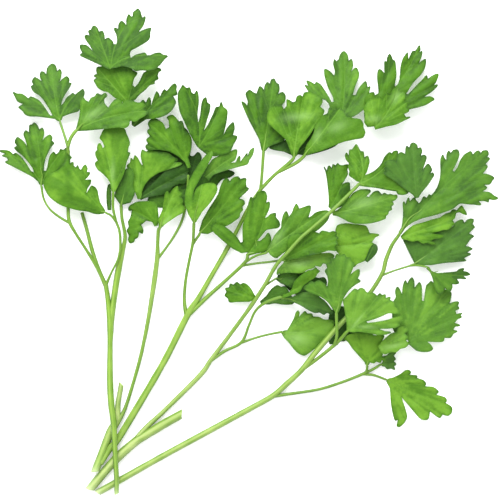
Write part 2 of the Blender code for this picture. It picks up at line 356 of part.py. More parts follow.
                 (33.3, 74), (36.2, 67.6), (38.1, 67.3), (36, 71.8), (34.4, 78.8), (34.8, 81.8), (38.3, 79.3),
                 (38.2, 84.2), (39.1, 86.5), (40.4, 85.5), (41.3, 89), (43.1, 90.2), (45, 88.6), (45.4, 85.7),
                 (46.7, 86.4), (47.1, 81), (49.2, 82.5), (50.1, 79.9), (48.4, 72.9), (47.7, 70),
                 (50.5, 74.7), (52.9, 76.4), (54.2, 74.2), (54.8, 70.6), (50, 63)],
        heights=(8.2, 1.2), left_up=0.2, sides_up=-0.2, arch=0.2, colour="green"),
    "leaf_top_right": dict(
        base=(52.6, 57.6),
        outline=[(52.4, 63), (54.4, 70), (58.6, 71.3), (57.9, 78.5), (59.1, 81.8), (60.9, 80.3), (61.4, 85.1),
                 (62.6, 85.8), (63.8, 88.8), (66.3, 85.9), (66.8, 79.5), (66.2, 74.4), (68.3, 79.5),
                 (69.1, 84.1), (71.9, 89.4), (72.5, 86.6), (74.7, 90.5), (77.5, 92.8), (78.5, 89.6),
                 (77.2, 85.1), (80, 86.2), (78.7, 80.5), (71.9, 71.1), (80.2, 79), (85.6, 79.7), (84.1, 75),
                 (85.3, 74.6), (79.8, 70), (83.6, 68), (77.7, 64.7), (70.6, 60.8), (72.6, 60), (66, 56),
                 (59, 55.6)],
        heights=(9.8, 1.6), left_up=0.4, sides_up=0.8, arch=0.4, colour="green"),
    "leaf_dark_under_stem": dict(
        base=(16.4, -3.2),
        outline=[(17.6, 2.6), (18.2, 6), (22.7, 8.3), (27.3, 8.2), (30.8, 8.9), (36.2, 8.6), (40.1, 8.4),
                 (40.4, 4), (40, 0), (32, -0.6), (24, -2.4)],
        heights=(10.2, 11.2), left_up=-0.2, sides_up=-0.2, arch=0.1, colour="green"),
    "leaf_pale_under_stem_low": dict(
        base=(16.0, -3.8),
        outline=[(22, -2.8), (30, -1.2), (37, -0.6), (38.4, -3.4), (35, -6), (29.4, -7.4), (27, -9.2),
                 (20, -9), (13.2, -9.4), (13.6, -7)],
        heights=(7.0, 7.2), left_up=-0.3, sides_up=0.2, arch=0.2, colour="pale"),
    "leaf_yellow_behind": dict(
        base=(38.6, 2.8),
        outline=[(38.8, 9), (40.8, 13.6), (47, 12.6), (53.3, 11.5), (54.8, 8.2), (58.9, 7.4), (56.4, 4.2),
                 (58, 1.3), (53.3, -4.4), (49.7, -5.8), (47.8, -7.2), (44, -4)],
        heights=(6.6, 6.0), left_up=0.2, sides_up=-0.3, arch=0.2, colour="pale"),
    "leaf_lower_upright": dict(
        base=(39.5, -27),
        outline=[(37.8, -25), (35.1, -21.6), (30.3, -18.6), (25.8, -16.6), (24.4, -14.4), (29.2, -12.8),
                 (34, -13), (35.6, -9.6), (33.8, -6.4), (35, -4), (38, -1.8), (41, -0.9), (45.4, -2.2),
                 (48, -4.4), (45.9, -9.7), (50, -8), (50.2, -13), (45.4, -16.7), (43, -19.6), (41.6, -25.4)],
        heights=(11.8, 13.2), left_up=0.2, sides_up=-0.4, arch=0.4, colour="green"),
    "leaf_left_of_stem": dict(
        base=(36.6, 19.6),
        outline=[(35.5, 27), (34.4, 37), (35.4, 36.8), (37.8, 38.4), (40.6, 39.4), (43.6, 38.6), (43.8, 34.4),
                 (43, 30.8), (45.6, 30.8), (45.2, 27.2), (47, 26.4), (42.8, 21.4), (39, 18.8)],
        heights=(7.6, 8.0), left_up=-0.2, sides_up=0.2, arch=0.3, colour="green"),
    "leaf_yellow_dark_tip": dict(
        base=(49.6, 30.4),
        outline=[(45.4, 34), (44.6, 38), (43.8, 43.4), (45.3, 43.6), (45.6, 45.4), (48.6, 47.8),
                 (50.6, 45.3), (52.1, 44.6), (52.5, 42.4), (54.4, 40.8), (54, 37), (53, 34.5), (56.3, 37),
                 (59.4, 40.1), (61.2, 43.2), (66.8, 45.1), (69.6, 40), (71.8, 33), (71.6, 26.4), (66, 25.2),
                 (56, 28.4)],
        heights=(12.6, 10.6), left_up=0.2, sides_up=-1.0, arch=0.8, colour="pale"),
    "leaf_big_round_pale": dict(
        base=(37.8, 17.2),
        outline=[(43.4, 22.2), (47.4, 26.4), (50.4, 27.6), (55.3, 27), (59.9, 25.8), (66.7, 24.9),
                 (65.3, 21.7), (64.5, 19.2), (62.5, 16.6), (60.9, 14.2), (52.2, 12.6), (42, 14.2)],
        heights=(10.8, 10.0), left_up=-0.6, sides_up=-0.4, arch=0.6, colour="pale"),
    "leaf_lower_right_fan": dict(
        base=(71.8, -40.4),
        outline=[(68.4, -34), (65.6, -27.6), (64.6, -22.4), (66.3, -19.8), (66.4, -17), (67.4, -15.8),
                 (69.1, -18.2), (69.8, -14.2), (71, -12.8), (73.7, -11.6), (75, -15.6), (77.2, -13.7),
                 (78.3, -16), (78.6, -21.9), (80, -16), (82.2, -13.1), (88, -16.4), (91.8, -18.8),
                 (91.4, -22.5), (95, -22.6), (95.2, -25.6), (93.3, -27.4), (96.5, -28.2), (93.9, -31),
                 (95.2, -33), (92, -35), (93.6, -36), (89.9, -38.4), (85.3, -41), (82.4, -43.8),
                 (77, -44.8), (73.6, -43.2)],
        heights=(7.2, 1.0), left_up=0.4, sides_up=-0.4, arch=1.0, colour="green"),
    "leaf_lower_pale_overlap": dict(
        base=(58.6, -43),
        outline=[(61.5, -38.3), (64.2, -36), (68.6, -33.4), (71, -34), (71.6, -35), (70.5, -36.1),
                 (71.8, -37.4), (71.6, -40.4), (68, -43.8), (62.6, -45.6), (59.6, -45.4)],
        heights=(9.4, 9.6), left_up=0.2, sides_up=-0.2, arch=0.2, colour="pale"),
}


def clear_scene():
    for thing in list(bpy.data.objects):
        bpy.data.objects.remove(thing, do_unlink=True)


def new_collection(name):
    collection = bpy.data.collections.new(name)
    bpy.context.scene.collection.children.link(collection)
    return collection


def new_material(name, colour, roughness):
    material = bpy.data.materials.new(name)
    material.use_nodes = True
    shader = material.node_tree.nodes["Principled BSDF"]
    shader.inputs["Base Color"].default_value = colour
    shader.inputs["Roughness"].default_value = roughness
    shader.inputs["Metallic"].default_value = 0.0
    return material


def add_object(name, data, collection):
    thing = bpy.data.objects.new(name, data)
    collection.objects.link(thing)
    return thing


def mesh_from_curve(curve, merge_distance):
    """The curve's evaluated mesh with its loose caps welded; the curve itself is removed."""
    holder = bpy.data.objects.new("route", curve)
    bpy.context.scene.collection.objects.link(holder)
    depsgraph = bpy.context.evaluated_depsgraph_get()
    mesh = bpy.data.meshes.new_from_object(holder.evaluated_get(depsgraph))
    bpy.data.objects.remove(holder, do_unlink=True)
    bpy.data.curves.remove(curve)
    bm = bmesh.new()
    bm.from_mesh(mesh)
    bmesh.ops.remove_doubles(bm, verts=bm.verts, dist=merge_distance)
    bm.to_mesh(mesh)
    bm.free()
    return mesh


def branch_mesh(name, route):
    """A round tapering tube along the route."""
    curve = bpy.data.curves.new(name, "CURVE")
    curve.dimensions = "3D"
    curve.bevel_depth = MM
    curve.bevel_resolution = STALK_SIDES_RESOLUTION
    curve.use_fill_caps = True
    spline = curve.splines.new("POLY")
    spline.points.add(len(route) - 1)
    for point, (x, y, z, radius) in zip(spline.points, route):
        point.co = (x * MM, y * MM, z * MM, 1.0)
        point.radius = radius
    mesh = mesh_from_curve(curve, 1e-6)
    mesh.name = name
    mesh.shade_smooth()
    return mesh


def add_stalk(name, branches, material, collection, guides):
    """The first branch carries the stalk, and a Boolean union joins each other branch to it."""
    stalk = add_object(name, branch_mesh(name, branches[0]), collection)
    stalk.data.materials.append(material)
    for number, route in enumerate(branches[1:], start=1):
        side_name = f"{name}_branch_{number}"
        side = add_object(side_name, branch_mesh(side_name, route), guides)
        side.hide_render = True
        side.display_type = "WIRE"
        union = stalk.modifiers.new(side_name, "BOOLEAN")
        union.operation = "UNION"
        union.solver = "EXACT"
        union.object = side


class LeafShape:
    """The leaf's axis runs from its base to its farthest tip, and its heights follow from it."""

    def __init__(self, leaf):
        self.base = Vector(leaf["base"])
        self.leaf = leaf
        outline = [Vector(point) for point in leaf["outline"]]
        tip = max(outline, key=lambda point: (point - self.base).length)
        self.length = (tip - self.base).length
        self.axis = (tip - self.base).normalized()
        self.left = Vector((-self.axis.y, self.axis.x))
        self.half_width = max(abs((point - self.base).dot(self.left)) for point in outline)

    def height(self, x, y):
        offset = Vector((x, y)) - self.base
        along = offset.dot(self.axis) / self.length
        across = offset.dot(self.left) / self.half_width
        spread = min(1.0, max(0.0, along) * 2)
        at_base, at_tip = self.leaf["heights"]
        arch = 4 * along * (1 - along) if along > 0 else 0.0
        return (
            at_base
            + (at_tip - at_base) * along
            + self.leaf["left_up"] * across * spread
            + self.leaf["sides_up"] * across * across
            + self.leaf["arch"] * arch
        )

    def outline(self):
        """The listed points, closed across the narrow foot where the leaf meets its petiole."""
        points = [Vector(point) for point in self.leaf["outline"]]
        middle = (points[0] + points[-1]) / 2 - self.base
        out = middle.normalized() if middle.length > 0.5 else self.axis
        side = Vector((-out.y, out.x)) * PETIOLE_HALF_WIDTH
        if side.dot(points[0] - points[-1]) < 0:
            side = -side
        return [self.base + side] + points + [self.base - side]


def flat_leaf_mesh(name, points):
    """A 2D curve filled inside its outline."""
    curve = bpy.data.curves.new(name, "CURVE")
    curve.dimensions = "2D"
    curve.fill_mode = "BOTH"
    spline = curve.splines.new("POLY")
    spline.points.add(len(points) - 1)
    for spot, point in zip(spline.points, points):
        spot.co = (point.x * MM, point.y * MM, 0.0, 1.0)
    spline.use_cyclic_u = True
    return mesh_from_curve(curve, 1e-6)


def cut_across(bm, origin, direction, cuts, length):
    """Parallel cuts along the direction, so that the flat sheet can bend."""
    for number in range(1, cuts + 1):
        where = origin + direction * (length * number / (cuts + 1))
        bmesh.ops.bisect_plane(
            bm,
            geom=bm.verts[:] + bm.edges[:] + bm.faces[:],
            plane_co=(where.x * MM, where.y * MM, 0.0),
            plane_no=(direction.x, direction.y, 0.0),
            dist=1e-6,
        )


def add_leaf(name, leaf, material, collection):
    shape = LeafShape(leaf)
    mesh = flat_leaf_mesh(name, shape.outline())
    mesh.name = name
    bm = bmesh.new()
    bm.from_mesh(mesh)
    is_flat = not (leaf["arch"] or leaf["sides_up"] or leaf["left_up"])
    if not is_flat:
        cut_across(bm, shape.base, shape.axis, LEAF_CUTS_ALONG, shape.length)
        edge = shape.base - shape.left * shape.half_width
        cut_across(bm, edge, shape.left, LEAF_CUTS_ACROSS, 2 * shape.half_width)
    for vert in bm.verts:
        vert.co.z = shape.height(vert.co.x / MM, vert.co.y / MM) * MM
    bmesh.ops.triangulate(bm, faces=bm.faces)
    bmesh.ops.recalc_face_normals(bm, faces=bm.faces)
    upward = sum(face.normal.z * face.calc_area() for face in bm.faces)
    if upward < 0:
        bmesh.ops.reverse_faces(bm, faces=bm.faces)
    bm.to_mesh(mesh)
    bm.free()
    mesh.shade_smooth()
    mesh.materials.append(material)
    thing = add_object(name, mesh, collection)
    wall = thing.modifiers.new("thickness", "SOLIDIFY")
    wall.thickness = LEAF_THICKNESS * MM
    wall.offset = 0.0


def main():
    clear_scene()
    bunch = new_collection(BUNCH)
    guides = new_collection("branch_guides")
    leaf_materials = {
        "green": new_material("leaf_green", LEAF_GREEN, 0.45),
        "pale": new_material("leaf_pale", PALE_GREEN, 0.42),
        "dark": new_material("leaf_dark", DARK_GREEN, 0.48),
    }
    stalk_material = new_material("stalk_green", STALK_GREEN, 0.4)
    for name, branches in STALKS.items():
        add_stalk(name, branches, stalk_material, bunch, guides)
    for name, leaf in LEAVES.items():
        add_leaf(name, leaf, leaf_materials[leaf["colour"]], bunch)


main()
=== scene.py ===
"""The looks of a loose bunch of flat-leaf parsley: veined, toothed leaves on ridged stalks.

Every leaf and stalk of the frame is replaced by a finer piece on nearly the same outline or
route, and a few leaves that lie under others are added to the leaf they lie against.
The tables and sizes below are in millimetres; the meshes are in metres.
"""

import math

import bmesh
import bpy
import numpy as np
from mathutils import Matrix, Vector, noise
from mathutils.bvhtree import BVHTree
from mathutils.geometry import delaunay_2d_cdt


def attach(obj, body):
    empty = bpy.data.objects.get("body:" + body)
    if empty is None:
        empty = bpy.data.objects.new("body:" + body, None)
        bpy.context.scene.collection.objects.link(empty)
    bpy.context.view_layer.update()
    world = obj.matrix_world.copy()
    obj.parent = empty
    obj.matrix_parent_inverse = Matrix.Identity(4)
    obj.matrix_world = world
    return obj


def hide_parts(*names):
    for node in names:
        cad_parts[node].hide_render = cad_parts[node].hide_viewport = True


MM = 0.001
PETIOLE_HALF_WIDTH = 0.8
LEAF_SHEET = 0.28
# The gap between the inner points of a leaf's net, and between the points of its edge and veins.
LEAF_GRAIN = 0.75
EDGE_STEP = 0.45
VEIN_STEP = 0.9
# How far an outline swings out between its corners: 0 is straight, and 1 is the fullest curve.
CURVE = 0.8
# A corner that turns more than this, in degrees, is a tooth or a notch, and one that turns into
# the leaf by more than the second starts a crease.
SHARP_TURN = 50
CREASE_TURN = 40
SHORTEST_CREASE = 5.0
FOLD_HEIGHT = 0.7
# The search for a leaf's free room starts this far off its middle, just clear of its own
# sheet in the frame, and may go a little below z = 0 and no farther than FARTHEST_LOOK.
FRAME_SHEET_REACH = 0.3
LOWEST_DIP = 0.25
FARTHEST_LOOK = 20.0
# A point with another piece this close above it is painted darker, as painted shade under overlapping
# pieces.
OVERLAP_SHADE_REACH = 12.0
# A leaf stalk joins the nearest leaf whose base is within this distance of its end.
JOIN_REACH = 3.2
# A branch thicker than this has deeper ribs, and its end is cut where it bears no leaf.
THICK_RADIUS = 1.0
FLOOR_DROP = 0.05

# Each stalk is a list of branches, and a branch is a route of (x, y, z, radius).
STALKS = {
    "stalk_a": [
        [(-58.9, -108.6, 4.8, 1.0), (-59.0, -100, 5.0, 1.1), (-59.5, -91.8, 5.2, 1.1),
         (-60.2, -77.4, 5.4, 1.3), (-61.4, -68, 4.8, 1.4), (-62.0, -57, 3.0, 1.4),
         (-62.0, -42, 1.8, 1.2), (-61.9, -32, 1.8, 1.5), (-63.0, -21, 1.8, 1.1),
         (-64.0, -14.4, 2.2, 1.0)],
        [(-61.8, -34, 1.8, 1.3), (-60.4, -22, 1.8, 1.3), (-58.6, -10, 2.0, 1.4), (-56.6, 0, 2.4, 1.2),
         (-55.2, 7, 2.4, 0.8), (-56.6, 15, 2.4, 0.7), (-57.0, 20.5, 2.4, 0.7)],
        [(-64.0, -15, 2.2, 0.9), (-68, -6.6, 2.8, 0.8), (-72.9, 1.5, 4.2, 0.7), (-77, 8, 6.2, 0.7),
         (-80.0, 13.5, 6.3, 0.8), (-80.6, 19, 5.8, 0.8), (-80.4, 34, 5.6, 0.8),
         (-80.4, 42, 7.0, 0.8), (-80.6, 48.0, 9.8, 0.8)],
        [(-80.0, 13.0, 6.3, 0.6), (-84.4, 15.6, 6.6, 0.6), (-88.8, 19.2, 7.0, 0.5),
         (-91.6, 24.0, 6.0, 0.5), (-92.6, 29.4, 5.4, 0.5)],
        [(-80.5, 47.0, 9.9, 0.7), (-82.2, 52.4, 8.2, 0.6), (-84.1, 57.9, 6.4, 0.5)],
        [(-80.5, 47.0, 9.9, 0.8), (-79.2, 51.0, 9.8, 0.8), (-77.2, 53.9, 9.6, 0.8)],
        [(-64.0, -15, 2.2, 1.0), (-67.4, -7, 2.2, 0.9), (-70.2, 1.5, 2.0, 0.9), (-72.4, 10, 2.0, 0.8),
         (-74.6, 17.6, 2.0, 0.8)],
        [(-63.9, -15, 2.2, 0.7), (-61.2, -9, 3.9, 0.5), (-58.4, -3.4, 4.9, 0.5), (-57.3, 2, 5.0, 0.6),
         (-57.6, 9, 5.0, 0.6), (-59.2, 14.0, 5.4, 0.6), (-60.5, 20, 6.0, 0.6), (-60.4, 26.0, 6.6, 0.6)],
        [(-59.2, 13.6, 5.4, 0.6), (-61.2, 16.2, 6.4, 0.5), (-63.4, 17.4, 7.2, 0.5)],
    ],
    "stalk_b": [
        [(-68.7, -98.6, 3.9, 1.7), (-65.6, -90.4, 2.6, 1.7), (-62.0, -81.2, 1.9, 1.8),
         (-59.2, -75.8, 1.8, 1.6), (-58.4, -68, 1.8, 1.1), (-56.9, -59.3, 2.0, 1.1)],
        [(-59.2, -77.6, 1.9, 1.2), (-55.4, -70.6, 1.6, 0.8), (-51.8, -59.5, 1.5, 0.75),
         (-48.2, -46.5, 1.4, 0.8), (-45.0, -31, 1.3, 0.9), (-42.0, -12, 1.6, 1.1),
         (-40.8, -2, 2.2, 1.0), (-40.6, 4, 3.0, 0.8), (-40.2, 9.6, 4.0, 0.8)],
        [(-41.0, -3.4, 2.1, 0.7), (-37.6, 0.8, 2.1, 0.6), (-33.0, 7.6, 2.0, 0.6),
         (-29.4, 15.0, 1.8, 0.6), (-27.4, 25, 2.4, 0.6), (-26.8, 34.4, 4.6, 0.6)],
        [(-66.2, -95.0, 3.3, 1.3), (-62.4, -88.8, 2.2, 1.5), (-58.5, -84.2, 1.9, 1.6),
         (-50, -70.2, 1.8, 1.6), (-37.4, -48.6, 1.7, 1.5), (-27.2, -28.4, 1.7, 1.5),
         (-22.0, -20.2, 1.6, 1.2), (-15.0, -8.2, 1.7, 1.1), (-8.4, 3.2, 2.0, 1.1),
         (-4.6, 10.4, 2.4, 0.9), (0.6, 20.4, 3.8, 0.9), (6.0, 28.6, 5.0, 0.9)],
        [(-27.6, -29.4, 1.8, 1.0), (-28.6, -22, 2.0, 0.8), (-28.0, -12.6, 2.4, 0.7),
         (-26.2, -3, 3.6, 0.7), (-24.8, 3.6, 5.6, 0.7), (-24.4, 8.2, 7.8, 0.7), (-24.2, 12.6, 9.4, 0.7)],
        [(-24.9, 3.0, 5.5, 0.6), (-23.2, 5.8, 5.4, 0.6), (-21.8, 7.8, 5.4, 0.6)],
        [(-27.4, -29.0, 1.8, 1.0), (-18.5, -20.4, 1.8, 0.9), (-9.6, -12.4, 2.2, 0.8),
         (-2.4, -5.8, 4.2, 0.8), (-0.6, -3.6, 5.6, 0.7), (-0.2, -1.8, 6.4, 0.7)],
        [(-1.6, -5.0, 4.8, 0.6), (1.8, -2.6, 6.2, 0.5), (5.0, -1.2, 7.2, 0.5), (8.2, -0.4, 8.0, 0.5)],
        [(-3.0, -6.2, 3.9, 0.6), (3.0, -5.2, 4.2, 0.5), (10.0, -4.4, 5.0, 0.5), (15.4, -3.6, 6.2, 0.5)],
        [(5.6, 28.0, 5.0, 0.8), (6.2, 34, 5.4, 0.7), (6.9, 44.6, 6.0, 0.7)],
        [(5.6, 28.0, 5.0, 0.8), (11.6, 34.2, 6.0, 0.8), (18.8, 40.2, 7.6, 0.8), (20.2, 41.8, 8.4, 0.7)],
        [(13.0, 35.4, 6.3, 0.7), (21.4, 39.8, 8.0, 0.8), (25.2, 43.0, 9.6, 0.7)],
    ],
    "stalk_c": [
        [(-71.2, -106.7, 1.8, 1.8),
         (-65.2, -99.6, 1.9, 1.9), (-58.2, -91.9, 1.9, 1.95),
         (-50.6, -85.2, 1.9, 1.9), (-47.0, -82.9, 1.8, 1.8),
         (-38.0, -77.4, 1.9, 1.9), (-29.8, -72.8, 1.9, 1.8)],
        [(-50.8, -84.6, 1.7, 1.2), (-45.5, -78.6, 1.5, 1.1), (-37.4, -71.1, 1.4, 1.0),
         (-21.6, -55.4, 1.4, 1.1), (-16.6, -48.4, 1.6, 1.0), (-8.0, -37, 2.8, 0.9),
         (1.2, -24.4, 5.4, 0.9), (7.6, -14.6, 8.6, 0.9), (12.6, -5.9, 11.4, 0.8),
         (16.6, -1.4, 12.6, 0.8), (23.0, 5.8, 13.0, 0.8), (27.8, 10.0, 13.0, 0.8),
         (36.4, 17.4, 13.2, 0.8), (43.0, 23.8, 12.8, 0.8), (48.9, 29.6, 12.4, 0.7)],
        [(7.0, -15.6, 8.1, 0.5), (9.8, -13.6, 8.0, 0.45), (12.3, -12.0, 7.6, 0.45)],
        [(-17.4, -49.4, 1.6, 0.8), (-10.6, -44.6, 1.5, 0.7), (-3.0, -40.6, 1.5, 0.7),
         (0.4, -33, 3.2, 0.6), (3.4, -26.4, 5.0, 0.6), (8.0, -22.6, 6.6, 0.7), (14.6, -20.2, 7.8, 0.7)],
        [(-3.6, -41.0, 1.5, 0.6), (4.0, -38.4, 1.6, 0.55), (10.4, -36.8, 2.0, 0.55),
         (14.8, -36.0, 2.4, 0.6)],
    ],
    "stalk_d": [
        [(-67.6, -108.2, 1.5, 1.4), (-58.0, -102.8, 1.5, 1.4), (-39.6, -92.4, 1.4, 1.3),
         (-21.6, -82.6, 1.4, 1.3), (0.9, -70.4, 1.4, 1.2), (11.0, -64.7, 1.5, 1.2),
         (17.4, -59.2, 2.4, 1.2), (24.0, -53.0, 4.4, 1.2), (30.0, -45.4, 6.2, 1.2),
         (38.0, -36.0, 7.2, 1.2), (43.8, -29.8, 7.2, 1.1), (50.0, -23.4, 6.8, 1.0),
         (55.4, -17.4, 6.8, 0.9), (60.2, -9.4, 7.6, 0.9), (61.8, -3.4, 8.0, 0.9), (64.4, 3.0, 8.6, 0.8),
         (67.3, 7.3, 9.2, 0.7)],
        [(23.4, -53.4, 4.3, 0.9), (30.4, -48.4, 5.6, 0.8), (39.4, -41.0, 8.4, 0.8),
         (44.0, -35.8, 11.4, 0.7)],
        [(38.6, -41.8, 8.2, 0.7), (39.7, -37.6, 10.4, 0.7), (39.6, -32, 11.2, 0.7),
         (39.5, -27.6, 11.4, 0.7)],
        [(60.0, -10.4, 7.4, 0.6), (66.0, -8.2, 6.8, 0.45), (73.0, -6.0, 6.2, 0.5),
         (74.0, -5.6, 6.0, 0.5)],
        [(72.6, -6.2, 6.2, 0.45), (76.0, -6.0, 8.0, 0.45), (79.6, -6.6, 9.6, 0.45)],
        [(10.4, -65.0, 1.5, 0.8), (18.0, -63.9, 1.2, 0.7), (31.5, -61.8, 1.0, 0.65),
         (42.0, -58.6, 1.0, 0.65), (51.4, -54.9, 1.4, 0.7), (53.2, -53.6, 2.2, 0.6),
         (53.5, -51.4, 3.4, 0.6)],
        [(51.6, -54.9, 1.4, 0.6), (56.4, -52.6, 1.7, 0.6), (59.6, -50.6, 2.0, 0.5)],
        [(51.4, -54.9, 1.4, 0.6), (56.7, -55.4, 1.0, 0.55), (61.6, -57.2, 0.7, 0.5)],
    ],
}

# A leaf: its base, its outline from the left side of the base round to the right, its
# heights at base and tip, how far its left side is raised, how far its sides turn up,
# how far its middle arches up, and its colour. Its tone and tint are named below, and each
# painted highlight is a pale spot that stands in for the light's reflection, given as x, y,
# half length, half width and direction in degrees. Where "of" is given, the leaf is an added
# one that goes with that leaf of the frame.
#
# TONES says how light a leaf is painted, from one deep in the bunch to a pale underside in full
# light: partly the leaf's own colour and partly painted shade and light for where it lies, the
# darkest mostly painted shade for the leaves added under others; and TINTS how bluish it is.
TONES = {"darkest": 0.1, "dark": 0.3, "middle": 0.5, "fresh": 0.65, "light": 0.85, "lightest": 1.0}
TINTS = {"yellow": 0.0, "plain": 0.03, "cool": 0.1, "blue": 0.17}

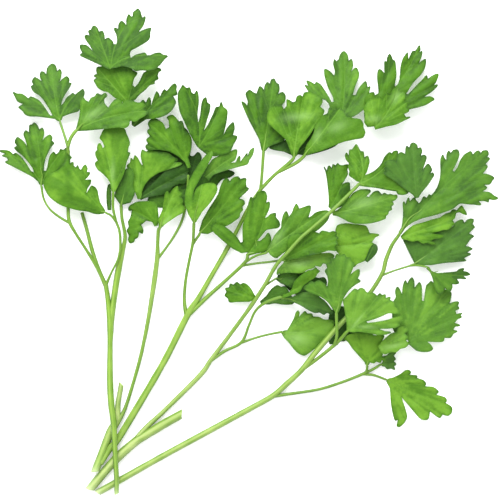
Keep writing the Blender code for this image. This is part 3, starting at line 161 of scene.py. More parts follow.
LEAVES = {
    "leaf_left_low": dict(
        base=(-92.8, 30.2),
        outline=[(-94.2, 31.6), (-96, 33.2), (-99.6, 35.2), (-103, 37), (-106, 38.6), (-109.2, 40.3),
                 (-107.8, 41.2), (-108.4, 42.3), (-110.6, 43.2), (-109.2, 44.1), (-111.5, 45),
                 (-111.4, 45.9), (-108.4, 45.8), (-107, 45.4), (-105.5, 44), (-104.4, 44.6),
                 (-103, 43.8), (-101.4, 42.4), (-100, 40.5), (-98.6, 38.3), (-97.2, 36.2), (-96.2, 35.8),
                 (-96.6, 37.4), (-98.2, 39.8), (-100.2, 42.1), (-102, 43.8), (-104, 45.3),
                 (-105.1, 46.8), (-103.9, 47.7), (-104.9, 49.6), (-103.8, 51.7), (-102.2, 51),
                 (-100.8, 49.8), (-99.2, 47.5), (-100, 50.4), (-101, 52.8), (-100, 54.8), (-98.5, 53.8),
                 (-98.5, 55.4), (-98.3, 57.1), (-97.2, 57.4), (-96.2, 58.3), (-94.8, 57.3),
                 (-93.7, 55.1), (-92.4, 55.9), (-91.5, 54.2), (-91.8, 51.6), (-92.5, 49.8), (-91, 51.6),
                 (-89, 52.8), (-87.8, 51.6), (-88, 50), (-86.9, 48.9), (-88.2, 47.2), (-89.6, 44.6),
                 (-90.8, 42), (-91.4, 39.4), (-91.5, 36.6), (-90.7, 36.4), (-90, 38.4), (-89.6, 41),
                 (-88.8, 43.4), (-87.2, 45), (-86.1, 43.9), (-85, 44.8), (-84.2, 46.2), (-82.8, 46),
                 (-81.4, 46.8), (-80.9, 44), (-80.8, 40.6), (-83, 37.4), (-87, 35.4), (-91, 32)],
        heights=(5, 1), left_up=-1, sides_up=0.4, arch=0.8, colour="green",
        tone="middle", tint="plain",
    ),
    "leaf_left_high": dict(
        base=(-84.3, 58.8),
        outline=[(-86.6, 59.6), (-90, 60.1), (-94, 60.6), (-98, 60.8), (-100, 61.6), (-101, 63),
                 (-103.1, 64.9), (-102, 65.7), (-101.2, 66.4), (-103.6, 67.6), (-104.6, 69.4),
                 (-105.6, 71.9), (-103.6, 71.2), (-101.6, 71.2), (-100, 70.2), (-98.6, 69),
                 (-97.6, 69.9), (-95.6, 69.2), (-93.6, 68), (-92, 66.2), (-90.6, 64.2), (-89.6, 62.6),
                 (-88.6, 61.2), (-87.7, 61.2), (-88.4, 62.8), (-90, 65.4), (-92, 68.4), (-93.8, 70.3),
                 (-96.2, 71.8), (-97.6, 74.2), (-96.5, 75.2), (-97.2, 76.6), (-96, 78.6), (-94.4, 78.1),
                 (-92.8, 76.8), (-93.7, 79.4), (-93, 81.2), (-91.6, 81), (-90.7, 79.9), (-90.3, 82.8),
                 (-88.2, 84.8), (-86.4, 83.9), (-85.7, 81.4), (-84.5, 82.3), (-83.6, 80.8), (-84, 78.4),
                 (-84.5, 76.5), (-83, 78), (-81.4, 79), (-80.1, 77.7), (-80.2, 76), (-79.1, 75.7),
                 (-80.2, 73.4), (-82, 70.6), (-83.3, 68), (-83.7, 65.8), (-82.4, 67.4), (-81.2, 69.4),
                 (-79.6, 70.6), (-78.6, 71.4), (-77.5, 70.7), (-75.6, 72.2), (-74, 73.2), (-73.2, 71.8),
                 (-73.4, 70), (-74.8, 67), (-75.2, 64.4), (-76, 63), (-80, 61.8), (-83, 60.6)],
        heights=(6.2, 0.9), left_up=-0.6, sides_up=-0.4, arch=1, colour="green",
        tone="dark", tint="cool",
    ),
    "leaf_top_left": dict(
        base=(-61.3, 81.6),
        outline=[(-64, 82.4), (-66, 83.3), (-69.4, 84.9), (-72.4, 86.2), (-75, 87.7), (-74, 88.8),
                 (-75.1, 91.2), (-74.7, 92.5), (-72, 92.3), (-70.6, 91.2), (-69.4, 89.9), (-70.6, 92),
                 (-72.2, 94.2), (-73, 96), (-72.3, 97), (-70.9, 96.7), (-71.3, 98.8), (-70.2, 99.3),
                 (-69.6, 100.7), (-68.6, 101.2), (-67.2, 100.3), (-66.4, 98.4), (-65, 98.9), (-64, 97),
                 (-63.8, 95), (-62.4, 95.8), (-61.2, 94.9), (-60.4, 94.2), (-59.9, 92.8), (-58.7, 92.8),
                 (-58.5, 94.6), (-58.9, 97), (-60, 99.6), (-59.5, 100.3), (-58.1, 99.8), (-57.9, 101.8),
                 (-56.6, 103.4), (-55.2, 102.5), (-54.5, 101.5), (-54.4, 104.4), (-53.4, 106.5),
                 (-52.3, 105.5), (-51.7, 105.5), (-51.5, 107.4), (-50.4, 108.3), (-49.3, 109.1),
                 (-48.1, 107.8), (-47.7, 106.4), (-47.3, 105), (-45.9, 105.6), (-46, 103.4),
                 (-47, 100.8), (-48.8, 98.4), (-46.8, 99.4), (-45, 100.1), (-43.3, 100.3), (-43.6, 98.2),
                 (-43.7, 96.2), (-44.4, 94.6), (-46.6, 93), (-50, 91), (-52.1, 89.8), (-52.6, 88.2),
                 (-52.2, 86.6), (-50.4, 87.9), (-48.4, 88.6), (-46, 89), (-45, 87.8), (-43.6, 88),
                 (-41.6, 88.9), (-39.2, 89.2), (-38.2, 88.4), (-35.7, 87.6), (-37, 86.2), (-38.2, 84.6),
                 (-39.2, 83.4), (-41.4, 81.6), (-44.6, 80.8), (-47.4, 81), (-49.8, 80.6), (-52.4, 82),
                 (-56, 82.8), (-59, 82)],
        heights=(14.8, 7), left_up=1, sides_up=-0.6, arch=1, colour="green",
        tone="dark", tint="cool",
    ),
    "leaf_top_left_under": dict(
        base=(-53.2, 66.4),
        outline=[(-60, 69.2), (-62.6, 71.4), (-64.6, 71.8), (-67, 73.2), (-68.2, 75), (-69, 76.8),
                 (-67.9, 77.8), (-69, 78.8), (-67.5, 79.7), (-67.9, 81), (-67.6, 82.6), (-66, 83),
                 (-60, 83.4), (-54, 83), (-51, 81.2), (-49.4, 80), (-50.6, 78), (-51.3, 76.4),
                 (-51.5, 74.6), (-50.6, 73.8), (-49, 75.6), (-47.4, 78.8), (-46.6, 80.2), (-43, 82),
                 (-39.8, 82.4), (-38.6, 81.3), (-39.8, 80.4), (-40.3, 78.8), (-40, 77.4), (-41.6, 76.4),
                 (-41.8, 75.2), (-43.8, 74.6), (-46, 72.4), (-48.6, 70.2), (-50.4, 68)],
        heights=(8.8, 9.6), left_up=-0.4, sides_up=0.6, arch=0.6, colour="pale",
        tone="middle", tint="plain",
    ),
    "leaf_left_glossy": dict(
        base=(-76.4, 54.6),
        outline=[(-75.6, 60), (-75.2, 63), (-75, 66.4), (-74, 69.4), (-72.4, 67.8), (-71.2, 67.2),
                 (-70.2, 68.9), (-68.6, 69.6), (-67.4, 71), (-65.6, 70.4), (-63.7, 71.2), (-62.9, 69.8),
                 (-64.2, 68.2), (-63.9, 66.4), (-62.4, 64.6), (-60.8, 66.8), (-59.2, 68.4),
                 (-57.6, 68.2), (-56, 66.9), (-54.2, 67.8), (-51.4, 67.6), (-49.4, 66.8), (-47.4, 66.8),
                 (-45.6, 65.4), (-46.4, 64), (-44.6, 62.8), (-46, 60.8), (-48.4, 59.4), (-50.4, 58.2),
                 (-52.6, 58.6), (-53.2, 56.4), (-55, 55.2), (-57.6, 55.6), (-65.1, 54.8), (-72, 54.2)],
        heights=(9.6, 11.2), left_up=-1.2, sides_up=-0.6, arch=1, colour="pale",
        tone="middle", tint="cool", sheen=[(-69, 61.6, 6, 2.2, 30)],
    ),
    "leaf_left_inner": dict(
        base=(-64.2, 17.9),
        outline=[(-66.8, 16.8), (-69, 17.1), (-72, 18.1), (-76, 18.6), (-80, 19.6), (-82, 20.2),
                 (-85, 21.6), (-88.6, 24.4), (-90.4, 27), (-91.4, 30), (-90.8, 32.4), (-88, 35),
                 (-84.4, 37), (-82.2, 40), (-81.2, 43.4), (-80.2, 46), (-79.6, 45), (-79.9, 43.4),
                 (-78.8, 42.4), (-79.7, 41), (-79.6, 39.8), (-78.2, 40.3), (-77.8, 38.6), (-77, 37.9),
                 (-76.2, 38.9), (-75.4, 37.4), (-74.8, 36.8), (-73.8, 38.4), (-72.7, 39.2),
                 (-71.7, 37.4), (-72, 35.9), (-70.6, 35.6), (-71.2, 34), (-72.8, 32.3), (-71.6, 32.5),
                 (-70.1, 32.3), (-70.4, 30.4), (-71.8, 28.4), (-72.2, 26.4), (-71.2, 28.2), (-70, 29.8),
                 (-68.4, 29.1), (-67.3, 27.6), (-66.8, 25), (-66, 22), (-64.8, 20.2)],
        heights=(7.4, 8.4), left_up=0.6, sides_up=-0.4, arch=0.9, colour="green",
        tone="fresh", tint="plain",
    ),
    "leaf_upright": dict(
        base=(-60.3, 27),
        outline=[(-61.8, 31), (-63, 33), (-65, 35), (-67.4, 37), (-68.6, 39.4), (-68.2, 40.3),
                 (-67.3, 41), (-68.3, 43.2), (-68.3, 44.9), (-67.6, 45.6), (-67.6, 46.8), (-67.2, 48.2),
                 (-66.4, 48.8), (-65.6, 48), (-65, 46.6), (-64.3, 47.2), (-65.2, 49.4), (-66.4, 51),
                 (-65.6, 53), (-64.8, 54.6), (-62, 56.4), (-58, 56.6), (-55, 55), (-54.4, 53.2),
                 (-53.4, 51), (-52.8, 48.6), (-53.4, 46.8), (-53.7, 44.8), (-52.7, 44.4), (-53.4, 42.4),
                 (-54.4, 40), (-55, 37), (-56.2, 33.4), (-57.8, 30.4)],
        heights=(6.8, 7.8), left_up=0, sides_up=1, arch=0.3, colour="pale",
        tone="light", tint="plain", sheen=[(-60.6, 35.6, 6, 1.2, 88)],
    ),
    "leaf_dark_behind_upright": dict(
        base=(-56.9, 21.4),
        outline=[(-60, 25), (-58.8, 31), (-56, 36), (-53, 38), (-51.2, 35), (-51.6, 30), (-50.8, 26),
                 (-52.6, 22.2)],
        heights=(3.4, 5), left_up=0, sides_up=0, arch=0, colour="dark",
        tone="middle", tint="plain",
    ),
    "leaf_dark_sliver": dict(
        base=(-62.2, 18.8),
        outline=[(-63.5, 22), (-63.5, 27), (-62.3, 30.6), (-61.5, 28), (-61.5, 22)],
        heights=(3.6, 4), left_up=0, sides_up=0, arch=0, colour="dark",
        tone="middle", tint="plain",
    ),
    "leaf_dark_underneath": dict(
        base=(-30, 17.6),
        outline=[(-37, 19.6), (-45, 21.6), (-44, 26), (-38, 31), (-30, 34), (-26, 33), (-25.6, 26),
                 (-27, 20)],
        heights=(0.25, 0.25), left_up=0, sides_up=0, arch=0, colour="dark",
        tone="middle", tint="plain",
    ),
    "leaf_mid_reaching_up": dict(
        base=(-51.4, 56.4),
        outline=[(-52.2, 61), (-50.6, 66), (-48.4, 66.9), (-47, 68.2), (-45.8, 67), (-44.3, 69.4),
                 (-43.4, 68), (-43.6, 65.4), (-42.6, 68.2), (-41, 72), (-40, 71.2), (-39.5, 69.6),
                 (-37.5, 73), (-36.4, 72.2), (-34, 75), (-32.6, 75.6), (-31.8, 74.4), (-32, 72.9),
                 (-31.6, 70.5), (-33.4, 69.8), (-32.2, 67), (-34.2, 63.2), (-36.8, 61.2), (-40, 60),
                 (-45.6, 59.4)],
        heights=(7.6, 6.6), left_up=-0.4, sides_up=0.3, arch=0.2, colour="green",
        tone="dark", tint="plain",
    ),
    "leaf_mid_low": dict(
        base=(-48.8, 23.8),
        outline=[(-50.4, 26), (-52.4, 31), (-53.6, 36), (-54.4, 38.8), (-53, 40.2), (-52.6, 42.2),
                 (-51.5, 41.5), (-50.8, 43.4), (-49.4, 42.2), (-48, 39.6), (-47, 38.2), (-47.8, 41),
                 (-48.2, 43.6), (-47.4, 46), (-45.8, 45.2), (-44, 45.4), (-36, 44.6), (-33.2, 42.6),
                 (-31.4, 41.6), (-32.8, 40.4), (-29.6, 39.8), (-31.4, 38.4), (-34.6, 37.4), (-40, 35.6),
                 (-44, 33), (-46.4, 30), (-47.6, 27)],
        heights=(3.2, 3.8), left_up=-0.3, sides_up=0.9, arch=0.4, colour="pale",
        tone="fresh", tint="plain",
    ),
    "leaf_mid_bright": dict(
        base=(-26.4, 37.8),
        outline=[(-28.4, 40.4), (-31.5, 43), (-35.4, 45), (-40, 45.8), (-45.2, 45.7), (-46, 47.6),
                 (-44.9, 48.6), (-45.6, 50.4), (-44, 51.9), (-45.3, 54.2), (-44.2, 55.4), (-44.9, 57.8),
                 (-43.4, 59.6), (-41.2, 59.8), (-39, 58.6), (-37.8, 57.4), (-36.8, 55.2), (-35.4, 56),
                 (-35.6, 58.8), (-36.4, 60.4), (-34, 61.6), (-32.4, 60.4), (-31, 58.6), (-29.6, 58.8),
                 (-28.8, 57.2), (-28, 54.4), (-26.4, 53.4), (-25.2, 50), (-25.6, 45.4), (-26.9, 42.6)],
        heights=(5, 6), left_up=0.2, sides_up=-0.4, arch=0.2, colour="green",
        tone="middle", tint="yellow",
    ),
    "leaf_mid_fan": dict(
        base=(-22.2, 46.6),
        outline=[(-24.6, 50), (-26.4, 53.6), (-28.6, 58.4), (-30.6, 63), (-31.4, 68), (-31.2, 71.6),
                 (-30, 73.6), (-29.2, 74.8), (-27.4, 73.4), (-26, 73.7), (-25, 71.2), (-24, 70.8),
                 (-22.9, 72.2), (-22.1, 70.6), (-21.9, 66.8), (-22.6, 61.6), (-22.2, 58), (-21.4, 61.4),
                 (-20.8, 66.6), (-20, 68.6), (-18.7, 69.2), (-18, 66.8), (-16.8, 66), (-17, 63.2),
                 (-18.4, 58.6), (-19.6, 54.4), (-17.8, 57.2), (-15.4, 62.4), (-14.4, 64.8),
                 (-12.9, 65.2), (-12, 67.2), (-10.9, 65), (-9.2, 63.4), (-9.2, 60.6), (-9.8, 57),
                 (-11, 52.4), (-9.4, 55.4), (-7.6, 57.6), (-6.5, 58.2), (-5.9, 55.4), (-6.6, 52.4),
                 (-4.7, 51.7), (-6.4, 48), (-8.2, 44.8), (-14.8, 42.8), (-19, 44)],
        heights=(9.2, 9.8), left_up=0.6, sides_up=-0.8, arch=0.6, colour="green",
        tone="dark", tint="plain",
    ),
    "leaf_centre_folded": dict(
        base=(-24, 13.4),
        outline=[(-26.6, 16.7), (-28.2, 22), (-28, 26.4), (-26.6, 31), (-24.4, 35.4), (-21.2, 40.4),
                 (-18.2, 44), (-16.2, 45.2), (-15.6, 43.6), (-17.4, 39.8), (-20, 35.2), (-22.4, 31),
                 (-24.2, 27.6), (-24.3, 25), (-23.2, 28), (-21, 30), (-18, 30.8), (-15.4, 30.8),
                 (-13.9, 29.4), (-13.7, 27.2), (-16.4, 22.6), (-20.4, 18)],
        heights=(10.4, 12.4), left_up=-0.8, sides_up=-0.6, arch=0.8, colour="pale",
        tone="light", tint="plain",
    ),
    "leaf_centre_serrated": dict(
        base=(-19, 33.4),
        outline=[(-18, 38.6), (-16, 41.4), (-12, 43.6), (-8, 45.2), (-5, 45.9), (-5, 43.4), (-5.8, 41.2),
                 (-7.6, 40), (-5.6, 40.2), (-3.8, 43.1), (-3.3, 40.6), (-1.9, 42.6), (-0.3, 44.5),
                 (-0.2, 43.2), (1, 45.8), (2.7, 46.7), (2.2, 43.4), (0.8, 41.2), (-0.2, 39.2),
                 (-4.5, 38), (-10.4, 36.4), (-15.6, 34.4), (-17.6, 31.8)],
        heights=(7.8, 6.8), left_up=0.2, sides_up=0.2, arch=0.2, colour="pale",
        tone="fresh", tint="blue",
    ),
    "leaf_centre_right": dict(
        base=(-21.4, 8.8),
        outline=[(-20.6, 14), (-17.8, 19), (-15.6, 22.4), (-13.4, 26), (-12.4, 29.4), (-11, 32.2),
                 (-9.4, 33.2), (-8.2, 31.8), (-6.6, 33.4), (-4.4, 33.9), (-3.4, 32.8), (-0.9, 33.1),
                 (-0.8, 31), (-0.6, 29.2), (0.5, 28.5), (-0.8, 26.8), (-2.2, 25.6), (-3.8, 23.9),
                 (-2, 23.4), (-1.3, 21.8), (-2.4, 20.2), (-2.2, 18.8), (-3.4, 17.4), (-3.8, 15.6),
                 (-6, 13.8), (-8.4, 12.2), (-13.8, 10), (-18, 8)],
        heights=(5.8, 7.6), left_up=0.6, sides_up=-0.2, arch=0.4, colour="green",
        tone="middle", tint="plain",
    ),
    "leaf_centre_pale_upright": dict(
        base=(-39.3, 11.2),
        outline=[(-40.2, 15), (-38.4, 19), (-37.8, 22.4), (-37.2, 26), (-36.1, 27.3), (-35.2, 26.2),
                 (-33.4, 28.4), (-31.5, 29.6), (-31, 27.4), (-29.5, 26.4), (-30.2, 24.6), (-29, 23),
                 (-29.4, 21.4), (-28.4, 20), (-29, 17.6), (-31.6, 16.2), (-34.6, 14.2), (-37.4, 12.2)],
        heights=(5.6, 7), left_up=0.2, sides_up=0.2, arch=0.2, colour="pale",
        tone="light", tint="plain", sheen=[(-36.5, 14, 3.5, 1, 50)],
    ),
    "leaf_hanging_bright": dict(
        base=(-41.2, 11.6),
        outline=[(-43, 13.4), (-45.6, 14), (-47.9, 12.2), (-46.9, 10), (-47.3, 8.2), (-48.8, 8.8),
                 (-49.4, 6.4), (-50.6, 5.8), (-51.2, 4.4), (-53, 3.9), (-53.9, 5.4), (-53.5, 7.4),
                 (-54.5, 9.6), (-53.6, 11.4), (-54, 13.4), (-53, 15.4), (-52.2, 18.6), (-53.8, 18.8),
                 (-53.4, 20.6), (-52, 21.6), (-50, 22.6), (-44, 22.8), (-41, 21.6), (-40.2, 17),
                 (-40.1, 14)],
        heights=(4.6, 1.9), left_up=-0.8, sides_up=-0.2, arch=0.2, colour="green",
        tone="middle", tint="yellow",
    ),
    "leaf_trefoil_centre": dict(
        base=(0, -0.9),
        outline=[(-2.8, -0.6), (-6.4, 1.2), (-9.6, 3.6), (-13, 6.6), (-16, 9.6), (-16.2, 12.4),
                 (-14.2, 12.6), (-10.6, 11.6), (-7.6, 9.4), (-5, 6.8), (-3.2, 4.2), (-2.4, 4.6),
                 (-2.5, 8), (-2.4, 12), (-1.4, 15.4), (-0.4, 18.6), (0.2, 22), (1.3, 24.8), (2.3, 24),
                 (3.2, 24.6), (4, 26.6), (5.6, 27.2), (7.4, 27.4), (8.6, 25), (8.2, 22.2), (9.6, 22.6),
                 (9.8, 20.2), (8.9, 17.8), (7.6, 15.3), (8.8, 15.8), (10, 17), (12.4, 17.5),
                 (12.6, 15.6), (13.8, 14.2), (14.5, 12.2), (13.6, 10.8), (11.4, 10.4), (9, 10), (8, 9.6),
                 (6, 7.2), (4.3, 5.1), (5.3, 4.9), (7.4, 6.6), (9, 8.6), (10.2, 7), (10.4, 3.8),
                 (8.4, 0.4), (4.3, -0.6)],
        heights=(6.8, 8.2), left_up=0.2, sides_up=-0.4, arch=0.4, colour="green",
        tone="middle", tint="plain",
    ),
    "leaf_pale_under_stem": dict(
        base=(8.7, 0.2),
        outline=[(10.4, 4.6), (11.8, 7.4), (13.6, 9.6), (14.7, 10.8), (14.9, 13.4), (15.6, 16.4),
                 (17, 18.4), (18, 17.2), (18.3, 15.9), (19.6, 17.8), (20.4, 20), (21.6, 21.7),
                 (22.4, 20.8), (23, 19.5), (24.6, 20.1), (27.8, 20.9), (28.1, 18.8), (27.1, 15.5),
                 (28.4, 16.2), (30, 17.6), (32.4, 18.4), (35.6, 18.6), (36.6, 17), (35.6, 14),
                 (32, 10.4), (27, 7), (22, 3), (15.6, -0.6), (12.6, -2.8), (10, -1.4)],
        heights=(8.6, 9.6), left_up=0.2, sides_up=-0.3, arch=0.4, colour="pale",
        tone="fresh", tint="cool", sheen=[(13, 6, 5, 2, 50)],
    ),
    "leaf_small_round": dict(
        base=(3.3, -20.6),
        outline=[(0.4, -22.4), (-5.4, -22.5), (-8.4, -22.6), (-9.2, -20.8), (-10.6, -19.6),
                 (-9.8, -17.8), (-10.4, -16.4), (-8.6, -15.8), (-8, -14.2), (-6.6, -14.6), (-5, -13.4),
                 (-3.4, -14.5), (-2.2, -13.8), (-0.6, -14.3), (0.6, -15.4), (1.8, -17), (2.6, -18.6)],
        heights=(3.4, 3), left_up=0, sides_up=-0.4, arch=0.4, colour="green",
        tone="fresh", tint="yellow",
    ),
    "leaf_folded_strip": dict(
        base=(15.6, -19.9),
        outline=[(18.2, -18.2), (19.6, -16.4), (20.6, -13.4), (23, -10.8), (26.8, -8.2), (29, -7.8),
                 (30.2, -6.8), (31.2, -7.8), (32.2, -8.4), (31.2, -9.6), (30.2, -11.2), (27.2, -13.2),
                 (24.8, -15.2), (23.2, -17.6), (19.8, -19.2)],
        heights=(9, 9.8), left_up=0.4, sides_up=0, arch=0.3, colour="green",
        tone="fresh", tint="plain",
    ),
    "leaf_dark_drooping": dict(
        base=(15.4, -20.8),
        outline=[(19.8, -20), (22.4, -18.8), (25, -18), (28, -18.2), (31, -19.4), (34.2, -21.6),
                 (36.4, -24.2), (38.1, -27), (37.4, -28), (35.4, -27.4), (34, -28.2), (32, -27.2),
                 (30, -27.4), (27.2, -26.2), (24.4, -24.4), (19.8, -22.2)],
        heights=(7.4, 6.6), left_up=0.3, sides_up=-0.4, arch=0.3, colour="dark",
        tone="middle", tint="blue",
    ),
    "leaf_dark_curled": dict(
        base=(5.6, -22.8),
        outline=[(8.2, -19.6), (10.6, -16.4), (13.2, -14.8), (15, -15.6), (16.4, -15.2), (18.6, -18),
                 (20.2, -20.6), (20.9, -22.4), (20, -23.5), (16.2, -23.7), (12, -23.1), (9.6, -23.6)],
        heights=(3.2, 3), left_up=0.2, sides_up=0, arch=0.4, colour="dark",
        tone="middle", tint="plain",
    ),
    "leaf_dark_inner": dict(
        base=(12.9, -11.8),
        outline=[(13.4, -10.2), (16, -9.2), (18.4, -8.8), (23.2, -9.4), (21.6, -12.2), (19.6, -16),
                 (17, -14.8), (14.8, -14.2)],
        heights=(5.2, 4.4), left_up=0, sides_up=0, arch=0.2, colour="dark",
        tone="dark", tint="yellow",
    ),
    "leaf_lower_mid": dict(
        base=(15.4, -36),
        outline=[(17.6, -35), (19.4, -32), (20.6, -29.6), (21.4, -27.2), (22.5, -26.2), (23.2, -27.2),
                 (22.9, -29), (24.2, -27.6), (25.6, -26.5), (26.8, -27.6), (28.6, -27.6), (29.4, -29),
                 (32, -29.2), (34, -30.2), (38.4, -30.8), (38.2, -34), (36.4, -37), (32.4, -41.5),
                 (28, -45), (25.2, -46.6), (22.4, -45.4), (20.2, -43.2), (18.2, -40.6), (16.2, -38.6)],
        heights=(2.6, 2), left_up=0.6, sides_up=-0.3, arch=0.5, colour="pale",
        tone="light", tint="blue", sheen=[(22, -39, 6, 3, -10)],
    ),
    "leaf_lower_big_pale": dict(
        base=(44.7, -35.2),
        outline=[(44, -32), (43.4, -28), (42.8, -24), (42.4, -21.6), (44, -19.8), (46, -17.6),
                 (47.6, -16.3), (49, -16.8), (50.4, -15.9), (52, -16.6), (52.6, -17.6), (54, -18.2),
                 (55.4, -18), (56.6, -18.5), (57.5, -19.4), (58.8, -18.3), (59.8, -19.1), (61.3, -18.8),
                 (61.5, -20.4), (63.5, -20), (63.4, -21.4), (64.9, -22.2), (65.6, -24.4), (67.8, -25.8),
                 (67.6, -27.4), (65, -27.5), (62.6, -27.4), (59.6, -28.7), (56, -30.1), (52.8, -31),
                 (53.4, -31.6), (58, -31), (62.4, -30.1), (65, -29.3), (68.8, -28.8), (69.2, -30.6),
                 (67.4, -31.4), (67.6, -32.8), (65.6, -33.8), (62.6, -34.2), (58.6, -34.3), (61, -35.2),
                 (63.8, -35.8), (61.8, -36.8), (58, -37), (54, -36.2), (50.4, -35.7), (47, -35.9)],
        heights=(12, 13), left_up=0.4, sides_up=-0.8, arch=1.2, colour="pale",
        tone="light", tint="blue", sheen=[(49, -30.6, 4.5, 0.8, 50), (53, -33.4, 5, 0.8, -2)],
    ),
    "leaf_lower_under_pale": dict(
        base=(53.4, -50.6),
        outline=[(52.4, -49.6), (51.2, -48.2), (49, -45.8), (46.6, -43), (44.8, -40.4), (43.2, -39),
                 (44.4, -37.4), (47.6, -36.4), (52.4, -36), (57, -37.2), (61, -37.4), (60, -40.4),
                 (59.4, -43), (60.6, -45.2), (60.2, -46.8), (61.8, -48.6), (60, -48.6), (59.6, -49.8),
                 (57.6, -49.2), (56.4, -50), (54.8, -49.6)],
        heights=(4.2, 7.2), left_up=0.4, sides_up=-0.4, arch=0.4, colour="green",
        tone="light", tint="plain",
    ),
    "leaf_lower_dark": dict(
        base=(60.1, -50.5),
        outline=[(60.6, -49.4), (60.2, -47), (62.2, -46.4), (63.6, -45.2), (66.6, -45), (65.6, -46.6),
                 (66.5, -48.2), (65.6, -49), (66.7, -50.4), (65.7, -51.4), (66.1, -53), (64.2, -52.4),
                 (62.6, -52.7), (61.4, -51.6)],
        heights=(2.4, 2), left_up=0, sides_up=0, arch=0.2, colour="dark",
        tone="light", tint="blue",
    ),
    "leaf_lower_right": dict(
        base=(62.6, -57.6),
        outline=[(65.4, -56.4), (68.8, -54.7), (70.6, -53.2), (72.4, -53), (73.4, -53.9), (72.8, -55.2),
                 (76.3, -55.6), (76, -56.6), (79, -57.6), (80.2, -59.1), (79.7, -60.4), (83.4, -60.7),
                 (85.9, -62.8), (84.8, -64.1), (88.8, -65.4), (89.6, -66.8), (88.9, -67.8),
                 (91.8, -69.8), (91.6, -72.4), (89.9, -73.7), (87.6, -73.2), (86.2, -74.7),
                 (81.9, -71.8), (81.4, -74.6), (80.5, -75.6), (77.7, -75.2), (73.4, -70.4),
                 (69.1, -65.3), (71.6, -73.6), (70.5, -76.6), (68, -78.8), (66.8, -78.1), (67.4, -75.6),
                 (66, -75.8), (64.4, -69), (63.8, -61.4)],
        heights=(0.25, 0.25), left_up=0, sides_up=0, arch=0, colour="green",
        tone="light", tint="plain",
    ),
    "leaf_right_dark": dict(
        base=(74.8, -5.2),
        outline=[(73.6, -3), (72, 0), (70.6, 3), (69.6, 5.8), (76, 8.6), (84, 9.6), (90, 10.6),
                 (92, 11.6), (93, 13.2), (94.8, 14.4), (96.4, 14.6), (97.3, 13.2), (98.4, 14.4),
                 (100, 15.1), (101.6, 14.6), (101, 12.6), (102.1, 11.2), (101, 10), (99.4, 8.4),
                 (101.7, 7.1), (100.4, 6), (99.2, 4.6), (97.8, 2.7), (99.4, 2.4), (101.1, 1.4),
                 (99.8, 0.6), (98.6, -0.2), (100.3, -1), (98.6, -2), (97.2, -2.8), (98, -4), (94, -4.5),
                 (88, -5), (82, -5.9), (78, -6)],
        heights=(5.8, 0.9), left_up=0.6, sides_up=-0.4, arch=0.8, colour="dark",
        tone="middle", tint="blue",
    ),
    "leaf_right_small": dict(
        base=(80.3, -6.9),
        outline=[(82, -8.4), (84.6, -9.4), (88, -9.2), (91, -8.9), (93.4, -8.6), (94.8, -7.6),
                 (97.1, -7.3), (96.6, -8.5), (98.4, -8.8), (99.9, -10.1), (98.2, -10.8), (96.8, -10.8),
                 (97.9, -12.1), (95.4, -12.1), (93.8, -12.2), (94.7, -14), (93, -14.6), (91.6, -14.5),
                 (91.6, -16), (90.4, -17.8), (88.2, -16.4), (86.4, -18.8), (84.6, -18.6), (83.2, -15),
                 (82.6, -12), (81.4, -9)],
        heights=(10, 3), left_up=-0.2, sides_up=-0.3, arch=0.4, colour="green",
        tone="middle", tint="blue",
    ),
    "leaf_right_big": dict(
        base=(67.9, 8.4),
        outline=[(68.6, 11), (69.2, 15), (69.3, 19), (69.2, 22), (69.8, 22.7), (70.5, 21.5), (71, 23.2),
                 (71.8, 24.4), (72.5, 22.8), (73.4, 23.8), (74.4, 24.5), (75.4, 23), (76.4, 21.9),
                 (77.3, 22.6), (78, 24.2), (78.8, 24.9), (80, 24.3), (81, 25.9), (82, 25.4), (83.4, 27),
                 (84.8, 29.4), (85.8, 32.6), (86.2, 36), (86.2, 41.6), (87.3, 43.7), (88.2, 42.2),
                 (88.9, 41.2), (89, 43.8), (90, 45.6), (91, 44.6), (92.2, 45.9), (94.2, 46), (95, 44),
                 (94.4, 41.8), (93, 38.8), (91.8, 36.4), (92.5, 36.1), (94, 38.2), (95.4, 41.6),
                 (97, 43.8), (98.8, 44.9), (100.1, 45.4), (101, 43.9), (102.2, 45.2), (103.6, 45.7),
                 (104.6, 44.6), (105.4, 45.6), (107.7, 45.7), (108.3, 44), (107.6, 42.8), (108.8, 42),
                 (107.6, 40.4), (106.8, 39.6), (107.7, 38.4), (106.8, 36.8), (105.5, 35.3),
                 (108.6, 34.7), (110.7, 33.3), (109.6, 31.8), (108.6, 30.4), (106.2, 30), (107.3, 28.8),
                 (105.4, 27.2), (108.4, 26.8), (110.4, 25.4), (112.3, 24.1), (110.4, 23.2),
                 (108.2, 23.6), (107.9, 22.3), (106, 22.8), (103.6, 22.8), (104.5, 21.1), (101, 21.2),
                 (98, 21.4), (94.8, 21.6), (92, 19.4), (88, 17.8), (84, 16.6), (78, 15), (73.4, 13),
                 (70.4, 10.8)],
        heights=(10.2, 1.6), left_up=-0.4, sides_up=-0.8, arch=1.4, colour="green",
        tone="middle", tint="blue",
    ),
    "leaf_right_bright": dict(
        base=(68.6, 6.4),
        outline=[(70.6, 9.4), (74, 12), (78, 13.2), (82, 14.4), (86, 15.6), (88.4, 17.2), (90.4, 17.8),
                 (92, 19.2), (93.6, 18.8), (95.8, 20.9), (97, 19.4), (98.2, 16.7), (96.4, 17),
                 (94.8, 17.8), (93.4, 17.4), (92.9, 15.4), (91.8, 14.2), (92.6, 12.8), (91.4, 11.4),
                 (89.6, 10), (87.6, 9.9), (85, 9.1), (81.6, 8.5), (84.4, 8), (87.6, 7.3), (86.2, 6.2),
                 (83.6, 5.9), (82, 5), (84.2, 3.7), (82, 3.4), (80, 4), (78.2, 3.8), (76, 5),
                 (73.6, 4.6), (71, 5.4)],
        heights=(8.4, 4.4), left_up=0.4, sides_up=-0.3, arch=0.4, colour="pale",
        tone="light", tint="plain",
    ),
    "leaf_right_dark_fan": dict(
        base=(75.5, 24.1),
